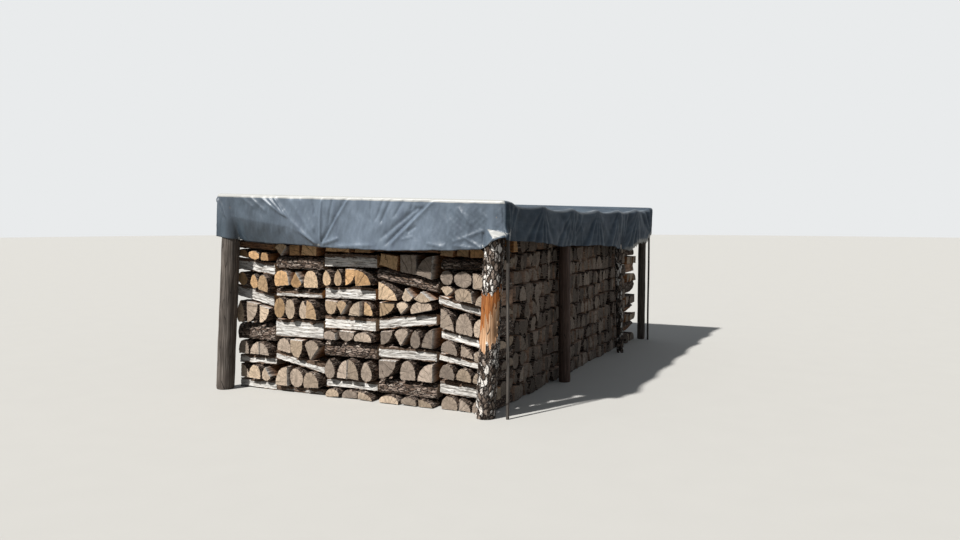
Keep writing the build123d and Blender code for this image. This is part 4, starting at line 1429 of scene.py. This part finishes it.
class LOGSTORE_OT_tarpaulin(bpy.types.Operator):
    """Drapes the tarpaulin over the rafters and nails its hem down"""
    bl_idname = "log_store.tarpaulin"
    bl_label = "Tarpaulin"

    def execute(self, context):
        settings = context.scene.log_store_tarpaulin
        made = materials()
        SUPPORTS[:] = supports()
        finishes = [made["tarpaulin_woven_coated_satin"], made["tarpaulin_woven_coated_dull"]]
        sheet = tarpaulin_piece(finishes, settings.thickness, settings.step, settings.step * 2.2,
                                settings.step * 5, settings.rows)
        settle_piece(sheet, "tarpaulin", "cover_top", "cover_front_side", "cover_right_side",
                     "cover_back_side", "cover_left_side")
        points, normals = [], []
        vertices = np.array([v.co for v in sheet.data.vertices])
        directions = np.array([v.normal for v in sheet.data.vertices])
        for side, nails in NAILS.items():
            axis, sign = FACING[side]
            limit = COVER_HIGH[axis] - 0.20
            for place, _, _ in nails:
                height = float(np.interp(place, *hem_heights(side))) + 0.014
                off = np.hypot(vertices[:, 1 - axis] - place, vertices[:, 2] - height)
                off = off + 10 * (vertices[:, axis] * sign < limit) + 10 * (directions[:, axis] * sign < 0.1)
                nearest = int(np.argmin(off))
                points.append(vertices[nearest] + directions[nearest] * 0.0006)
                normals.append(directions[nearest])
        nails = geometry_nodes_piece("tarpaulin_nails", points, normals, nail_tree(), {
            "Head radius": 0.006, "Washer radius": 0.013, "Washer thickness": 0.002,
            "Steel": made["nail_steel_zinc_coated"]})
        settle_piece(nails, "tarpaulin")
        return {"FINISHED"}


class LOGSTORE_OT_stage(bpy.types.Operator):
    """Sets the floor, the light and the camera"""
    bl_idname = "log_store.stage"
    bl_label = "Stage"

    def seen(self, tree):
        """1 for what the camera sees, mirrored or through glass too, and 0 for light on the object."""
        ray = add(tree, "ShaderNodeLightPath")
        mirrored = add(tree, "ShaderNodeMath", {
            0: ray.outputs["Is Glossy Ray"], 1: ray.outputs["Is Transmission Ray"]}, operation="MAXIMUM")
        inputs = {0: ray.outputs["Is Camera Ray"], 1: mirrored}
        return add(tree, "ShaderNodeMath", inputs, operation="MAXIMUM")

    def execute(self, context):
        scene = context.scene
        settings = scene.log_store_stage
        paint = Paint("studio_floor_pale")
        tone = paint.remap(paint.noise(paint.place(), 3.0, 2.0), 0.0, 1.0, 0.98, 1.02)
        colour = paint.toned([*settings.floor_colour, 1.0], tone)
        pale = add(paint.tree, "ShaderNodeBsdfPrincipled", {"Base Color": colour, "Roughness": 0.95})
        dim = add(paint.tree, "ShaderNodeBsdfDiffuse", {"Color": linear("#7E7C78")})
        shader = add(paint.tree, "ShaderNodeMixShader", {0: self.seen(paint.tree), 1: dim, 2: pale})
        add(paint.tree, "ShaderNodeOutputMaterial", {"Surface": shader})
        shape = bmesh.new()
        bmesh.ops.create_circle(shape, cap_ends=True, segments=96, radius=60)
        mesh = bpy.data.meshes.new("studio_floor")
        shape.to_mesh(mesh)
        mesh.materials.append(paint.material)
        new_object("studio_floor", mesh)
        key = bpy.data.lights.new("key", "SUN")
        key.energy = settings.sun
        key.angle = math.radians(2)
        key.color = (1.0, 0.985, 0.96)
        lamp = new_object("key", key)
        lamp.rotation_euler = Vector((0.45, 1.0, -1.15)).to_track_quat("-Z", "Y").to_euler()
        world = bpy.data.worlds.new("studio")
        world.use_nodes = True
        scene.world = world
        nodes = world.node_tree
        nodes.nodes.clear()
        fill = add(nodes, "ShaderNodeBackground", {"Color": linear("#DCE6F2"), "Strength": settings.fill})
        backdrop = add(nodes, "ShaderNodeBackground", {"Color": linear("#E9EBEC"), "Strength": 1.0})
        chosen = add(nodes, "ShaderNodeMixShader", {0: self.seen(nodes), 1: fill, 2: backdrop})
        add(nodes, "ShaderNodeOutputWorld", {"Surface": chosen})
        camera = bpy.data.cameras.new("camera")
        camera.sensor_width = 36.0
        # The photograph is 960 pixels wide, and its focal length is 826 pixels.
        camera.lens = 826 / 960 * camera.sensor_width
        camera.clip_end = 500
        holder = new_object("camera", camera)
        holder.location = (3.900, -8.172, 1.60)
        holder.rotation_euler = (math.radians(90 - 3.81), 0, math.radians(25))
        scene.camera = holder
        scene.view_settings.view_transform = "Standard"
        return {"FINISHED"}


class LOGSTORE_PT_panel(bpy.types.Panel):
    """Lists the settings and the steps"""
    bl_idname = "LOGSTORE_PT_panel"
    bl_label = "Log store"
    bl_space_type = "VIEW_3D"
    bl_region_type = "UI"
    bl_category = "Log store"

    def draw(self, context):
        for name, operators in GROUPS:
            box = self.layout.box()
            settings = getattr(context.scene, name)
            for field in settings.bl_rna.properties:
                if field.identifier not in ("rna_type", "name"):
                    box.prop(settings, field.identifier)
            for operator in operators:
                box.operator(operator)


GROUPS = (
    ("log_store_firewood", ("log_store.firewood", "log_store.poles")),
    ("log_store_tarpaulin", ("log_store.tarpaulin",)),
    ("log_store_stage", ("log_store.stage",)),
)
CLASSES = (
    FirewoodSettings, TarpaulinSettings, StageSettings, LOGSTORE_OT_firewood, LOGSTORE_OT_poles,
    LOGSTORE_OT_tarpaulin, LOGSTORE_OT_stage, LOGSTORE_PT_panel,
)


def register():
    for cls in CLASSES:
        bpy.utils.register_class(cls)
    bpy.types.Scene.log_store_firewood = bpy.props.PointerProperty(type=FirewoodSettings)
    bpy.types.Scene.log_store_tarpaulin = bpy.props.PointerProperty(type=TarpaulinSettings)
    bpy.types.Scene.log_store_stage = bpy.props.PointerProperty(type=StageSettings)


def unregister():
    del bpy.types.Scene.log_store_stage
    del bpy.types.Scene.log_store_tarpaulin
    del bpy.types.Scene.log_store_firewood
    for cls in reversed(CLASSES):
        bpy.utils.unregister_class(cls)


def main():
    """Builds every piece in order."""
    register()
    bpy.ops.log_store.stage()
    bpy.ops.log_store.tarpaulin()
    bpy.ops.log_store.poles()
    bpy.ops.log_store.firewood()


if __name__ == "__main__":
    main()
